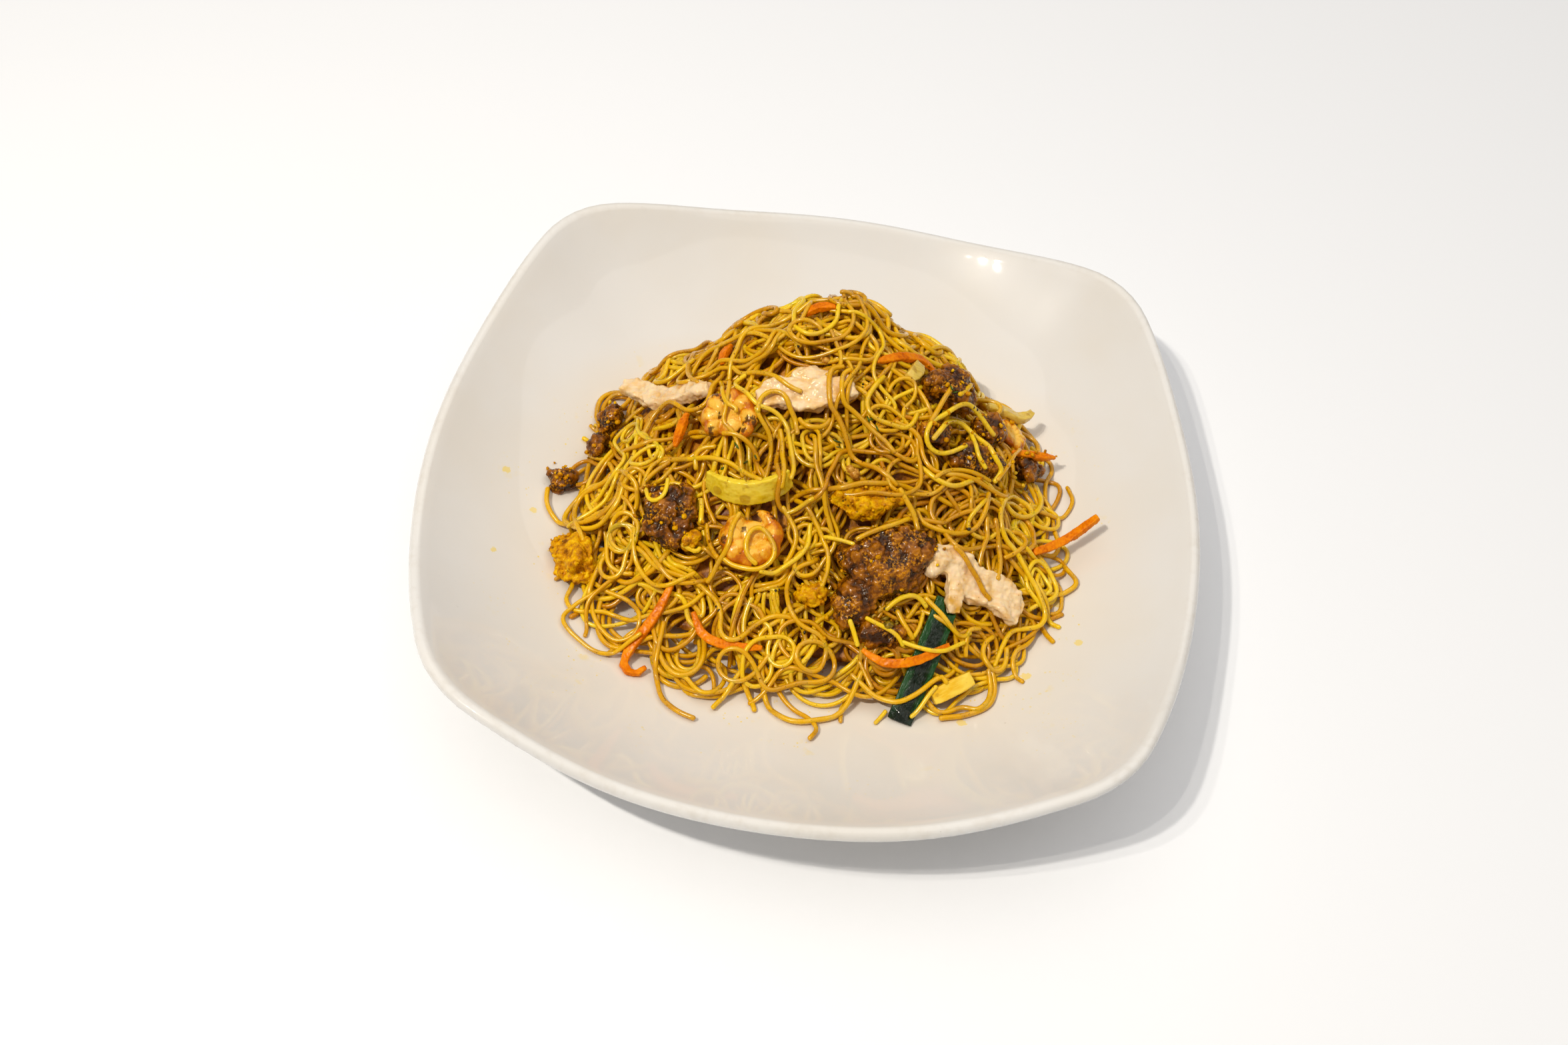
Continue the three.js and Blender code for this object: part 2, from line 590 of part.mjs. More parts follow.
function toppingSolid(makers, grow) {
  return makers.map((make) => solidFrom(make(grow))).reduce((whole, piece) => whole.add(piece));
}

// Each topping is cut to lie on the core and the bowl, and clear of the toppings before it
function settleToppings(ground) {
  const settled = [];
  return TOPPINGS.map(([name, finish, makers]) => {
    let solid = toppingSolid(makers, 0).subtract(ground);
    for (const other of settled) solid = solid.subtract(other);
    settled.push(toppingSolid(makers, GAP));
    return { name, finish, solid: largestPiece(solid), room: settled[settled.length - 1] };
  });
}

function noodleSolid(points) {
  const section = new THREE.Shape();
  for (let side = 0; side < NOODLE_SIDES; side += 1) {
    const angle = (2 * Math.PI * side) / NOODLE_SIDES;
    const [x, y] = [NOODLE_RADIUS * Math.cos(angle), NOODLE_RADIUS * Math.sin(angle)];
    if (side === 0) section.moveTo(x, y);
    else section.lineTo(x, y);
  }
  const curve = new THREE.CatmullRomCurve3(points);
  const steps = Math.max(4, Math.round(curve.getLength() / NOODLE_STEP));
  const options = { steps, bevelEnabled: false, extrudePath: curve };
  return solidFrom(new THREE.ExtrudeGeometry(section, options));
}

function isPlanClear(x, y) {
  if (heapShare(x, y) > HEAP_EDGE_SHARE) return false;
  const isOff = (make) => make.distance(x, y) > NOODLE_RADIUS + NOODLE_SPARE;
  return TOPPINGS.every(([, , makers]) => makers.every(isOff));
}

// A strand rides in low arches just over the core, and plunges into it at both ends
function archedPoint([x, y], travelled, isEnd = false) {
  const arch = Math.sin((Math.PI * travelled) / ARCH_SPAN) ** 2;
  const lowest = bowlHeight(x, y) + NOODLE_REST;
  if (isEnd) return new THREE.Vector3(x, y, Math.max(coreHeight(x, y) - NOODLE_PLUNGE, lowest));
  const normal = heapNormal(x, y);
  const height = NOODLE_REST + (CORE_DEPTH - NOODLE_REST - 0.5 * NOODLE_RADIUS) * arch;
  const point = new THREE.Vector3(x, y, coreHeight(x, y)).addScaledVector(normal, height);
  point.z = Math.max(point.z, bowlHeight(point.x, point.y) + NOODLE_REST);
  return point;
}

function roomAround(point, taken) {
  return taken.reduce((least, other) => Math.min(least, other.distanceTo(point)), Infinity);
}

// One end of a strand that curls over the heap, and turns away from toppings and from the foot
function walk(draw, start, firstHeading, taken) {
  const phase = [draw(), draw()].map((value) => value * 2 * Math.PI);
  const plan = [start];
  let heading = firstHeading;
  for (let travelled = NOODLE_STEP; travelled <= NOODLE_REACH; travelled += NOODLE_STEP) {
    const wanted = SHORT_CURLS.bend * Math.sin(travelled / SHORT_CURLS.length + phase[0])
      + LONG_CURLS.bend * Math.sin(travelled / LONG_CURLS.length + phase[1]);
    const [x, y] = plan[plan.length - 1];
    const ahead = (turned, distance) => [x + distance * Math.cos(turned), y + distance * Math.sin(turned)];
    const hasRoom = (place) => roomAround(archedPoint(place, travelled), taken) > NOODLE_CLEARANCE;
    const isOpen = (turned) => isPlanClear(...ahead(turned, STRIDE))
      && isPlanClear(...ahead(turned, LOOK_AHEAD))
      && PROBES.every((way) => hasRoom(ahead(turned, way)));
    const found = TURN_TRIALS
      .map((shift) => clamp(wanted + shift, -SHARPEST_CURL, SHARPEST_CURL))
      .map((bend) => heading + bend * NOODLE_STEP)
      .find(isOpen);
    if (found === undefined) break;
    heading = found;
    plan.push(ahead(heading, STRIDE));
  }
  return plan;
}

function curlyStrand(draw, start, taken) {
  const heading = draw() * 2 * Math.PI;
  const forwards = walk(draw, start, heading, taken);
  const backwards = walk(draw, start, heading + Math.PI, taken);
  const plan = [...backwards.reverse(), ...forwards.slice(1)];
  return plan.map((place, i) => {
    const travelled = (i - backwards.length + 1) * NOODLE_STEP;
    return archedPoint(place, travelled, i === 0 || i === plan.length - 1);
  });
}

// Of many drawn places on the heap, the one with the most room round it
function emptiestPlace(draw, taken) {
  let [best, most] = [null, 0];
  for (let i = 0; i < PLACES_TRIED; i += 1) {
    const foot = footPoint(draw() * 2 * Math.PI);
    const share = START_SHARE * Math.sqrt(draw());
    const place = [
      THREE.MathUtils.lerp(HEAP_TOP.x, foot.x, share),
      THREE.MathUtils.lerp(HEAP_TOP.y, foot.y, share),
    ];
    const room = roomAround(archedPoint(place, 0), taken);
    if (room > most && isPlanClear(...place)) [best, most] = [place, room];
  }
  return best;
}

function isClearOf(solid, rooms) {
  return rooms.every((room) => solid.intersect(room).volume() < TINY_VOLUME);
}

// Strands spread evenly over the heap
function topNoodles(rooms) {
  const draw = drawsFrom(NOODLE_SEED);
  const noodles = [];
  const taken = [];
  const attempts = TRIES_PER_NOODLE * NOODLE_COUNT;
  for (let attempt = 0; attempt < attempts && noodles.length < NOODLE_COUNT; attempt += 1) {
    const points = curlyStrand(draw, emptiestPlace(draw, taken), taken);
    if (points.length * NOODLE_STEP < SHORTEST_NOODLE) continue;
    const solid = noodleSolid(points);
    if (!isClearOf(solid, rooms)) continue;
    noodles.push(solid);
    taken.push(...new THREE.CatmullRomCurve3(points).getPoints(points.length * 2));
  }
  return noodles;
}

function strayNoodles(rooms) {
  return STRAYS.map((places) => {
    const last = places.length - 1;
    const points = places.map(([x, y], i) => {
      const isRooted = i === 0 || (i === last && heapShare(x, y) < CORE_SHARE);
      const above = isRooted ? 0 : NOODLE_RADIUS;
      return new THREE.Vector3(x, y, Math.max(bowlHeight(x, y) + NOODLE_REST, coreHeight(x, y) + above));
    });
    return noodleSolid(points);
  }).filter((solid) => isClearOf(solid, rooms));
}

function noodleHeap(rooms) {
  const strands = [...topNoodles(rooms), ...strayNoodles(rooms)];
  return largestPiece(strands.reduce((heap, strand) => heap.add(strand), coreSolid(0)));
}

function namedMesh(name, finish, solid) {
  const material = new THREE.MeshStandardMaterial({ ...FINISHES[finish], metalness: 0 });
  const mesh = new THREE.Mesh(geometryFrom(solid), material);
  mesh.name = name;
  return mesh;
}

function assemble() {
  const keepOut = bowlKeepOut();
  const toppings = settleToppings(coreSolid(GAP).add(keepOut));
  const rooms = [...toppings.map(({ room }) => room), keepOut];
  const whole = new THREE.Group();
  whole.add(namedMesh('bowl', 'glaze', bowlSolid()));
  whole.add(namedMesh('noodles', 'noodle', noodleHeap(rooms)));
  for (const { name, finish, solid } of toppings) whole.add(namedMesh(name, finish, solid));
  return whole;
}

export default assemble();
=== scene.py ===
"""Dresses a packed bowl of curry rice noodles: the glazed bowl, the strands of its heap, and the toppings.

Lengths are in metres, +Z is up, and the bowl's front is towards -Y.
"""

import logging
import math
from collections.abc import Iterable, Sequence
from dataclasses import dataclass, field
from enum import Enum
from typing import Protocol

import bpy
import numpy as np
from mathutils import Matrix, Vector


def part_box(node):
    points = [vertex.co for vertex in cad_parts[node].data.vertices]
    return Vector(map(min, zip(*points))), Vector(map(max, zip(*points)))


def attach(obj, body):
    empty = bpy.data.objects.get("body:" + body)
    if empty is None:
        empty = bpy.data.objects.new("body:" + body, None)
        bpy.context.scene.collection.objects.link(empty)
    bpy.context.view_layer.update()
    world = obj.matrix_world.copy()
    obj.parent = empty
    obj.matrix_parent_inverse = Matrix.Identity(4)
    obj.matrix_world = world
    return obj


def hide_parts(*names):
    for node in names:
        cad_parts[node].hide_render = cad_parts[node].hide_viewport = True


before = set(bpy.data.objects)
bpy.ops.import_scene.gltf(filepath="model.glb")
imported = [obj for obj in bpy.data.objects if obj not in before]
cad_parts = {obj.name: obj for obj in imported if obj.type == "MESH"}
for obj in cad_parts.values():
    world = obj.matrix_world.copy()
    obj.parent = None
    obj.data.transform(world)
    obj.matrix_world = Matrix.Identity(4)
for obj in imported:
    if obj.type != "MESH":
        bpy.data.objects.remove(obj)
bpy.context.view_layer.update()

MM = 0.001
TOUCHING = 0.01 * MM
BODY = "root"
LOG = logging.getLogger("noodle_bowl")

Array = np.ndarray
Piece = bpy.types.Object
Material = bpy.types.Material
Colour = tuple[float, float, float, float]
Places = Sequence[tuple[float, ...]]
Point = tuple[float, float, float]


def shown(red: int, green: int, blue: int) -> Colour:
    """Turns a colour as a screen shows it, from 0 to 255, into a linear one.

    Args:
        red: The red share.
        green: The green share.
        blue: The blue share.

    Returns:
        Linear red, green, blue and a full alpha.
    """
    levels = (value / 255 for value in (red, green, blue))
    linear = [v / 12.92 if v <= 0.04045 else ((v + 0.055) / 1.055) ** 2.4 for v in levels]
    return (*linear, 1.0)


class Signal:
    """A node socket's value, on which Python's operators add Math nodes."""

    def __init__(self, paint: "Paint", socket: bpy.types.NodeSocket) -> None:
        """Keeps the socket and the material that it belongs to."""
        self.paint = paint
        self.socket = socket

    def _math(self, operation: str, *values: "float | Signal") -> "Signal":
        """Adds one Math node."""
        return self.paint.node("ShaderNodeMath", {"operation": operation}, dict(enumerate(values)))

    def __add__(self, other: "float | Signal") -> "Signal":
        """Adds."""
        return self._math("ADD", self, other)

    def __sub__(self, other: "float | Signal") -> "Signal":
        """Takes away."""
        return self._math("SUBTRACT", self, other)

    def __rsub__(self, other: float) -> "Signal":
        """Takes this away from a number."""
        return self._math("SUBTRACT", other, self)

    def __mul__(self, other: "float | Signal") -> "Signal":
        """Multiplies."""
        return self._math("MULTIPLY", self, other)

    def between(self, low: float, high: float) -> "Signal":
        """Rises smoothly from 0 at low to 1 at high."""
        values = {"Value": self, "From Min": low, "From Max": high}
        return self.paint.node("ShaderNodeMapRange", {"interpolation_type": "SMOOTHSTEP"}, values)


class Paint:
    """Builds the node tree of one material."""

    COLOUR_A, COLOUR_B, COLOUR_RESULT = 6, 7, 2

    def __init__(self, name: str) -> None:
        """Starts a material whose shader is a Principled BSDF.

        Args:
            name: The material's name.
        """
        self.material = bpy.data.materials.new(name)
        self.material.use_nodes = True
        self.tree = self.material.node_tree
        self.shader = self.tree.nodes["Principled BSDF"]
        self.place = self.node("ShaderNodeTexCoord", output="Object")
        self.colour: Signal | Colour = shown(255, 255, 255)

    def node(
        self,
        kind: str,
        settings: dict[str, object] | None = None,
        values: dict[int | str, object] | None = None,
        output: int | str = 0,
    ) -> Signal:
        """Adds a node.

        Args:
            kind: The node's type.
            settings: Its properties, or a ramp's stops, which are set first.
            values: A number, colour or signal for each of its input sockets.
            output: The output socket that is used.

        Returns:
            The signal of that output.
        """
        made = self.tree.nodes.new(kind)
        for key, value in (settings or {}).items():
            if key == "stops":
                self._set_stops(made.color_ramp, value)
            else:
                setattr(made, key, value)
        for key, value in (values or {}).items():
            self.feed(made.inputs[key], value)
        return Signal(self, made.outputs[output])

    @staticmethod
    def _set_stops(ramp: bpy.types.ColorRamp, stops: Sequence[tuple[float, Colour]]) -> None:
        """Gives a colour ramp its stops.

        Args:
            ramp: The ramp.
            stops: Positions from 0 to 1, and the colour at each.
        """
        while len(ramp.elements) < len(stops):
            ramp.elements.new(0.5)
        for element, (position, colour) in zip(ramp.elements, stops):
            element.position = position
            element.color = colour

    def feed(self, socket: bpy.types.NodeSocket, value: object) -> None:
        """Links a signal to a socket, or sets its value."""
        if isinstance(value, Signal):
            self.tree.links.new(value.socket, socket)
        else:
            socket.default_value = value

    def fibres(self, sizes: Point, detail: float, turn: float = 0.0) -> Signal:
        """Noise whose patches have these sizes, turned about Z."""
        values = {"Vector": self.place, "Scale": sizes, "Rotation": (0, 0, turn)}
        stretched = self.node("ShaderNodeMapping", {"vector_type": "TEXTURE"}, values)
        return self.noise(1.0, detail, stretched)

    def noise(self, grain: float, detail: float = 2.0, place: Signal | None = None) -> Signal:
        """Cloudy noise whose patches are about a grain across."""
        values = {"Vector": place or self.place, "Scale": 1 / grain, "Detail": detail}
        return self.node("ShaderNodeTexNoise", values=values, output="Fac")

    def cells(self, grain: float) -> Signal:
        """The distance to the nearest of many points a grain apart, as a share of the grain."""
        values = {"Vector": self.place, "Scale": 1 / grain}
        return self.node("ShaderNodeTexVoronoi", values=values, output="Distance")

    def attribute(self, name: str) -> Signal:
        """A number kept on the mesh's vertices."""
        return self.node("ShaderNodeAttribute", {"attribute_name": name}, output="Fac")

    def ramp(self, signal: Signal, stops: Sequence[tuple[float, Colour]]) -> Signal:
        """Turns a number into a colour."""
        return self.node("ShaderNodeValToRGB", {"stops": stops}, {"Fac": signal}, "Color")

    def mix(self, first: "Signal | Colour", second: "Signal | Colour", share: "Signal | float") -> Signal:
        """Mixes two colours."""
        values = {0: share, self.COLOUR_A: first, self.COLOUR_B: second}
        settings = {"data_type": "RGBA", "clamp_factor": True}
        return self.node("ShaderNodeMix", settings, values, self.COLOUR_RESULT)

    def bump(self, height: Signal, depth: float) -> Signal:
        """A surface normal with relief of that depth."""
        values = {"Height": height, "Distance": depth, "Strength": 1.0}
        return self.node("ShaderNodeBump", values=values, output="Normal")

    def near(self, centre: Point, radius: float, ragged: "Signal | float" = 0.0) -> Signal:
        """Marks what lies near a point.

        Args:
            centre: The point.
            radius: How far its mark reaches.
            ragged: A number of metres that moves the mark's edge.

        Returns:
            1 within the radius and 0 beyond it, with a soft edge.
        """
        settings, values = {"operation": "DISTANCE"}, {0: self.place, 1: centre}
        away = self.node("ShaderNodeVectorMath", settings, values, "Value") + ragged
        return 1 - away.between(0.8 * radius, 1.1 * radius)

    def lay(self, colour: "Signal | Colour", share: "Signal | float") -> None:
        """Lays a share of a colour over the present one."""
        self.colour = self.mix(self.colour, colour, share)

    def done(self, **sockets: object) -> Material:
        """Feeds the colour and the sockets, named with underscores for spaces, and returns the material."""
        for key, value in {"Base_Color": self.colour, **sockets}.items():
            self.feed(self.shader.inputs[key.replace("_", " ")], value)
        return self.material


SOFT_GLOW = {"Subsurface_Radius": (1.0, 0.75, 0.1), "Subsurface_Scale": 1.0 * MM}
OIL = {"Specular_Tint": (1.0, 0.78, 0.4, 1.0), "Specular_IOR_Level": 0.55, "IOR": 1.45, "Coat_Roughness": 0.2}
DULL = {**OIL, "Specular_IOR_Level": 0.15}


class Finish(Protocol):
    """What every finish can do."""

    def material(self) -> Material:
        """Builds the finish.

        Returns:
            The material.
        """


@dataclass(frozen=True)
class Glaze:
    """Cream-white glaze, worn at the lip, with turmeric marks and painted warm bounce light near the food."""

    body: Colour = shown(228, 226, 223)
    warm: Colour = shown(225, 219, 209)
    worn: Colour = shown(200, 190, 176)
    speck: Colour = shown(130, 110, 84)
    # Painted warm bounce light from the noodles, laid near the food
    bounce_warmth: Colour = shown(230, 210, 176)
    turmeric: Colour = shown(240, 208, 40)
    marks: Places = (
        (-105.7, -2.7, 1.5), (-94.2, -14.1, 1.2), (-102.1, -37.2, 1.0), (88, -20.5, 1.6), (94.2, -38.4, 1.4),
        (72.4, -44.3, 1.8), (77.7, -51.5, 1.6), (85.9, -29.4, 1.5), (58, -72, 1.6),
    )

    def material(self) -> Material:
        """Builds the finish."""
        paint = Paint("cream_glaze")
        shape = BowlShape()
        lip = paint.attribute("lip")
        near = paint.attribute("nearness")
        clouds = paint.noise(45 * MM, 3)
        fine = paint.noise(2.2 * MM, 4)
        paint.colour = paint.mix(self.body, self.warm, clouds.between(0.35, 0.75) * 0.55)
        wear = lip.between(0.35, 0.95) * (paint.noise(9 * MM, 4) * 0.7 + fine * 0.5).between(0.55, 0.82)
        paint.lay(self.worn, wear * 0.3)
        spots = 1 - paint.cells(13 * MM).between(0.02, 0.045)
        paint.lay(self.speck, spots * paint.noise(31 * MM).between(0.5, 0.62) * 0.55)
        # A warm cream tint near the food: painted warm bounce light from the noodles
        paint.lay(self.bounce_warmth, near * 0.3)
        dots = 1 - (paint.cells(2.1 * MM) + fine * 0.35).between(0.27, 0.36)
        smears = paint.noise(6 * MM, 5).between(0.6, 0.72) * 0.35
        patches = paint.noise(19 * MM, 1).between(0.52, 0.64)
        paint.lay(self.turmeric, (dots * 0.8 + smears) * patches * near)
        ragged = (paint.noise(1.4 * MM, 3) - 0.5) * (2.6 * MM)
        for x, y, size in in_metres(self.marks):
            centre = (x, y, float(shape.height(np.array(x), np.array(y))))
            paint.lay(self.turmeric, paint.near(centre, size, ragged) * 0.6)
        rough = paint.noise(0.9 * MM, 2) * 0.05 + wear * 0.2 + 0.26
        return paint.done(
            Roughness=rough, Normal=paint.bump(paint.noise(24 * MM, 2), 0.12 * MM),
            Specular_IOR_Level=0.12, Coat_Weight=0.7, Coat_Roughness=0.03, IOR=1.5,
        )


class Tone(Enum):
    """How deep a strand's colour is: its own curry colour, and partly painted shade where darker tones are
    laid deeper in the heap.
    """

    PALE = "pale"
    GOLDEN = "golden"
    AMBER = "amber"
    BROWNED = "browned"


@dataclass(frozen=True)
class NoodleSkin:
    """Oily, slightly clear rice noodle with a colour of its own, stains, dark specks, and a browner patch
    over the middle of the heap.
    """

    tone: Tone
    light: Colour
    deep: Colour
    stained: float
    cleared: float
    stain: Colour = shown(156, 84, 4)
    clear: Colour = shown(242, 210, 80)
    speck: Colour = shown(52, 24, 4)
    browner_middle: Point = (0.0, 4 * MM, 42 * MM)
    browner_middle_radius: float = 30 * MM

    def material(self) -> Material:
        """Builds the finish."""
        paint = Paint(f"noodle_{self.tone.value}")
        own = paint.attribute("tone")
        patch = paint.noise(11 * MM, 2)
        middle = paint.noise(4 * MM, 3)
        grain = paint.noise(1.1 * MM, 3)
        paint.colour = paint.mix(self.deep, self.light, (own * 0.9 + middle * 0.6 + grain * 0.3 - 0.4))
        clears = (middle * 0.6 + grain * 0.4).between(0.52, 0.64)
        paint.lay(self.clear, clears * self.cleared)
        stains = (patch * 0.5 + middle * 0.4 + grain * 0.3).between(0.59, 0.72)
        paint.lay(self.stain, stains * self.stained)
        # Browner towards the middle of the heap
        paint.lay(self.stain, paint.near(self.browner_middle, self.browner_middle_radius) * 0.2)
        dots = 1 - (paint.cells(1.1 * MM) + grain * 0.14).between(0.17, 0.26)
        paint.lay(self.speck, dots * (middle + patch * 0.5).between(0.68, 0.82) * 0.9)
        beads = paint.noise(0.5 * MM, 2)
        return paint.done(
            Roughness=grain * 0.3 + 0.12,
            Normal=paint.bump(beads * 0.5 + grain, 0.08 * MM), Subsurface_Weight=0.45,
            Coat_Weight=middle.between(0.35, 0.6) * 0.6 + 0.12, **OIL, **SOFT_GLOW,
        )


@dataclass(frozen=True)
class ShadedNoodleCore:
    """The tangle deep between the strands, coloured dark brown as painted shade of the heap's depths."""

    dark: Colour = shown(132, 72, 1)
    light: Colour = shown(214, 140, 2)

    def material(self) -> Material:
        """Builds the finish."""
        paint = Paint("noodle_deep")
        waves = paint.noise(3 * MM, 3)
        # Dark brown to deep orange, darker than the strands: painted shade deep between them
        paint.colour = paint.mix(self.dark, self.light, waves.between(0.35, 0.7))
        relief = paint.bump(waves, 0.8 * MM)
        return paint.done(Roughness=waves * 0.2 + 0.4, Normal=relief)


@dataclass(frozen=True)
class CrispMeat:
    """Fried meat: dark brown crags with an oily shine, yellow crumbs stuck on, and painted shade in its
    hollows.
    """

    char: Colour = shown(52, 22, 1)
    brown: Colour = shown(120, 64, 1)
    tan: Colour = shown(172, 104, 4)
    crumb: Colour = shown(222, 148, 2)
    crumbs: float = 0.75

    def material(self) -> Material:
        """Builds the finish."""
        paint = Paint("crisp_meat")
        coarse = paint.noise(2.6 * MM, 5)
        fine = paint.noise(0.9 * MM, 3)
        mixed = coarse * 0.7 + fine * 0.3
        # Noise gives the meat's own char and brown; the raised share adds painted shade, darker in the
        # hollows and lighter on the crags
        level = mixed * 0.6 + paint.attribute("raised") * 0.4
        paint.colour = paint.ramp(level, [(0.39, self.char), (0.52, self.brown), (0.68, self.tan)])
        stuck = paint.noise(7 * MM, 2).between(0.45, 0.62) * paint.noise(0.9 * MM, 5).between(0.48, 0.64)
        paint.lay(self.crumb, stuck * self.crumbs)
        return paint.done(
            Roughness=fine * 0.35 + 0.06, Normal=paint.bump(mixed, 0.9 * MM),
            Coat_Weight=0.5, **DULL,
        )


@dataclass(frozen=True)
class SoftChicken:
    """Pale velvety chicken with faint fibres and curry-stained edges."""

    flesh: Colour = shown(243, 215, 172)
    rosy: Colour = shown(232, 188, 124)
    stain: Colour = shown(214, 158, 40)
    speck: Colour = shown(150, 84, 20)

    def material(self) -> Material:
        """Builds the finish."""
        paint = Paint("soft_chicken")
        fibres = paint.fibres((5 * MM, 1.1 * MM, 1.1 * MM), 3)
        clouds = paint.noise(5 * MM, 3)
        paint.colour = paint.mix(self.flesh, self.rosy, (clouds * 0.6 + fibres * 0.4).between(0.42, 0.66))
        edge = (paint.attribute("across") + (clouds - 0.5) * 0.8).between(0.8, 1.15) * 0.4
        edge = edge + (1 - paint.attribute("raised").between(0.05, 0.4)) * 0.4
        paint.lay(self.stain, paint.noise(7 * MM, 4).between(0.56, 0.7) * 0.6 + edge)
        dots = 1 - paint.cells(2.4 * MM).between(0.08, 0.14)
        paint.lay(self.speck, dots * clouds.between(0.45, 0.6) * 0.5)
        return paint.done(
            Roughness=fibres * 0.25 + 0.16,
            Normal=paint.bump(fibres * 0.2 + clouds, 0.5 * MM),
            Subsurface_Weight=0.3, Coat_Weight=0.5, **OIL, **SOFT_GLOW,
        )


@dataclass(frozen=True)
class CookedShrimp:
    """Shrimp that is orange along its back, pale inside, and charred in spots."""

    flesh: Colour = shown(242, 190, 70)
    middle: Colour = shown(228, 154, 10)
    back: Colour = shown(200, 106, 2)
    char: Colour = shown(60, 24, 4)

    def material(self) -> Material:
        """Builds the finish."""
        paint = Paint("cooked_shrimp")
        outer = paint.attribute("outer")
        ring = paint.attribute("ring")
        blotch = paint.noise(3.0 * MM, 4)
        fine = paint.noise(0.8 * MM, 3)
        orange = outer * 0.35 + blotch * 0.95 + ring * 0.35 + fine * 0.3
        paint.colour = paint.ramp(orange, [(0.66, self.flesh), (0.82, self.middle), (0.98, self.back)])
        dots = (1 - paint.cells(1.2 * MM).between(0.1, 0.2)) * blotch.between(0.5, 0.6)
        burnt = (paint.attribute("char") + (paint.noise(1.1 * MM, 4) - 0.5) * 2.2).between(0.35, 0.7)
        paint.lay(self.char, burnt * 0.85 + dots * 0.6)
        return paint.done(
            Roughness=fine * 0.3 + 0.12, Normal=paint.bump(fine * 0.5 + blotch, 0.3 * MM),
            Subsurface_Weight=0.35, Coat_Weight=0.4, **OIL, **SOFT_GLOW,
        )


@dataclass(frozen=True)
class FriedEgg:
    """Scrambled egg: bright curds with browned edges and dark flecks."""

    browned: Colour = shown(124, 70, 1)
    orange: Colour = shown(196, 126, 1)
    yellow: Colour = shown(230, 172, 1)
    white: Colour = shown(248, 208, 30)
    fleck: Colour = shown(60, 50, 12)

    def material(self) -> Material:
        """Builds the finish."""
        paint = Paint("fried_egg")
        curds = paint.noise(2.4 * MM, 5)
        fine = paint.noise(0.8 * MM, 3)
        stops = [(0.33, self.browned), (0.45, self.orange), (0.58, self.yellow), (0.72, self.white)]
        paint.colour = paint.ramp(curds * 0.75 + fine * 0.25, stops)
        flecks = (1 - paint.cells(2.6 * MM).between(0.1, 0.22)) * paint.noise(6 * MM).between(0.5, 0.6)
        paint.lay(self.fleck, flecks * 0.8)
        relief = paint.bump(fine, 0.35 * MM)
        return paint.done(Roughness=fine * 0.3 + 0.3, Normal=relief, Coat_Weight=0.08, **DULL)


@dataclass(frozen=True)
class SoftVegetable:
    """Cooked cabbage, onion or bamboo: clear flesh with veins and browned edges."""

    name: str
    flesh: Colour
    edge: Colour
    browned: Colour = shown(158, 96, 12)
    turn: float = 0.0
    spots: Places = ()

    def material(self) -> Material:
        """Builds the finish."""
        paint = Paint(self.name)
        veins = paint.fibres((6 * MM, 0.8 * MM, 1.4 * MM), 3, self.turn)
        clouds = paint.noise(6 * MM, 2)
        paint.colour = paint.mix(self.flesh, self.edge, (clouds * 0.5 + veins * 0.5).between(0.42, 0.66))
        rim = paint.attribute("across").between(0.7, 1.0) * 0.45
        paint.lay(self.edge, rim)
        ragged = (veins - 0.5) * (1.2 * MM)
        marks = paint.noise(3.4 * MM, 4).between(0.6, 0.7) * 0.4
        for x, y, z, size in self.spots:
            marks = marks + paint.near((x, y, z), size, ragged) * 0.45
        paint.lay(self.browned, marks)
        return paint.done(
            Roughness=veins * 0.2 + 0.14,
            Normal=paint.bump(veins * 0.5 + clouds, 0.25 * MM),
            Subsurface_Weight=0.3, Coat_Weight=0.5, **OIL, **SOFT_GLOW,
        )


@dataclass(frozen=True)
class ScallionLeaf:
    """Glossy green leaf with painted shade in the wrinkled fold down its middle, and a blackened tip."""

    green: Colour = shown(8, 66, 10)
    edge: Colour = shown(34, 108, 12)
    dark: Colour = shown(6, 20, 10)
    turn: float = 1.31

    def material(self) -> Material:
        """Builds the finish."""
        paint = Paint("scallion_leaf")
        ribs = paint.fibres((14 * MM, 0.8 * MM, 1.2 * MM), 3, self.turn)
        wrinkles = paint.fibres((3.2 * MM, 0.9 * MM, 1.2 * MM), 4, self.turn)
        across = paint.attribute("across")
        along = paint.attribute("along")
        paint.colour = paint.mix(self.green, self.edge, (across * 0.7 + ribs * 0.5).between(0.86, 1.16))
        # The dark fold down the middle is painted shade in the leaf's crease
        fold = (1 - (across + (wrinkles - 0.5) * 0.5).between(0.35, 0.65)) * (1 - along.between(0.75, 0.95))
        paint.lay(self.dark, fold * 0.92)
        tip = 1 - (along + (wrinkles - 0.5) * 0.1).between(0.05, 0.16)
        paint.lay(self.dark, tip * 0.85)
        height = ribs * 0.4 + wrinkles * (fold * 1.2 + 0.15)
        return paint.done(
            Roughness=wrinkles * 0.25 + 0.12, Normal=paint.bump(height, 1.2 * MM),
            Specular_IOR_Level=0.3, Coat_Weight=0.4, Coat_Roughness=0.12, IOR=1.45,
        )


@dataclass(frozen=True)
class CarrotFlesh:
    """Bright orange carrot with fine threads along each strip."""

    orange: Colour = shown(230, 124, 1)
    light: Colour = shown(240, 148, 6)
    dark: Colour = shown(200, 94, 1)

    def material(self) -> Material:
        """Builds the finish."""
        paint = Paint("carrot_flesh")
        threads = paint.noise(0.9 * MM, 3)
        clouds = paint.noise(6 * MM, 2)
        stops = [(0.36, self.dark), (0.5, self.orange), (0.66, self.light)]
        paint.colour = paint.ramp(threads * 0.5 + clouds * 0.5, stops)
        relief = paint.bump(threads, 0.2 * MM)
        return paint.done(Roughness=threads * 0.3 + 0.2, Normal=relief, Coat_Weight=0.08, **DULL)


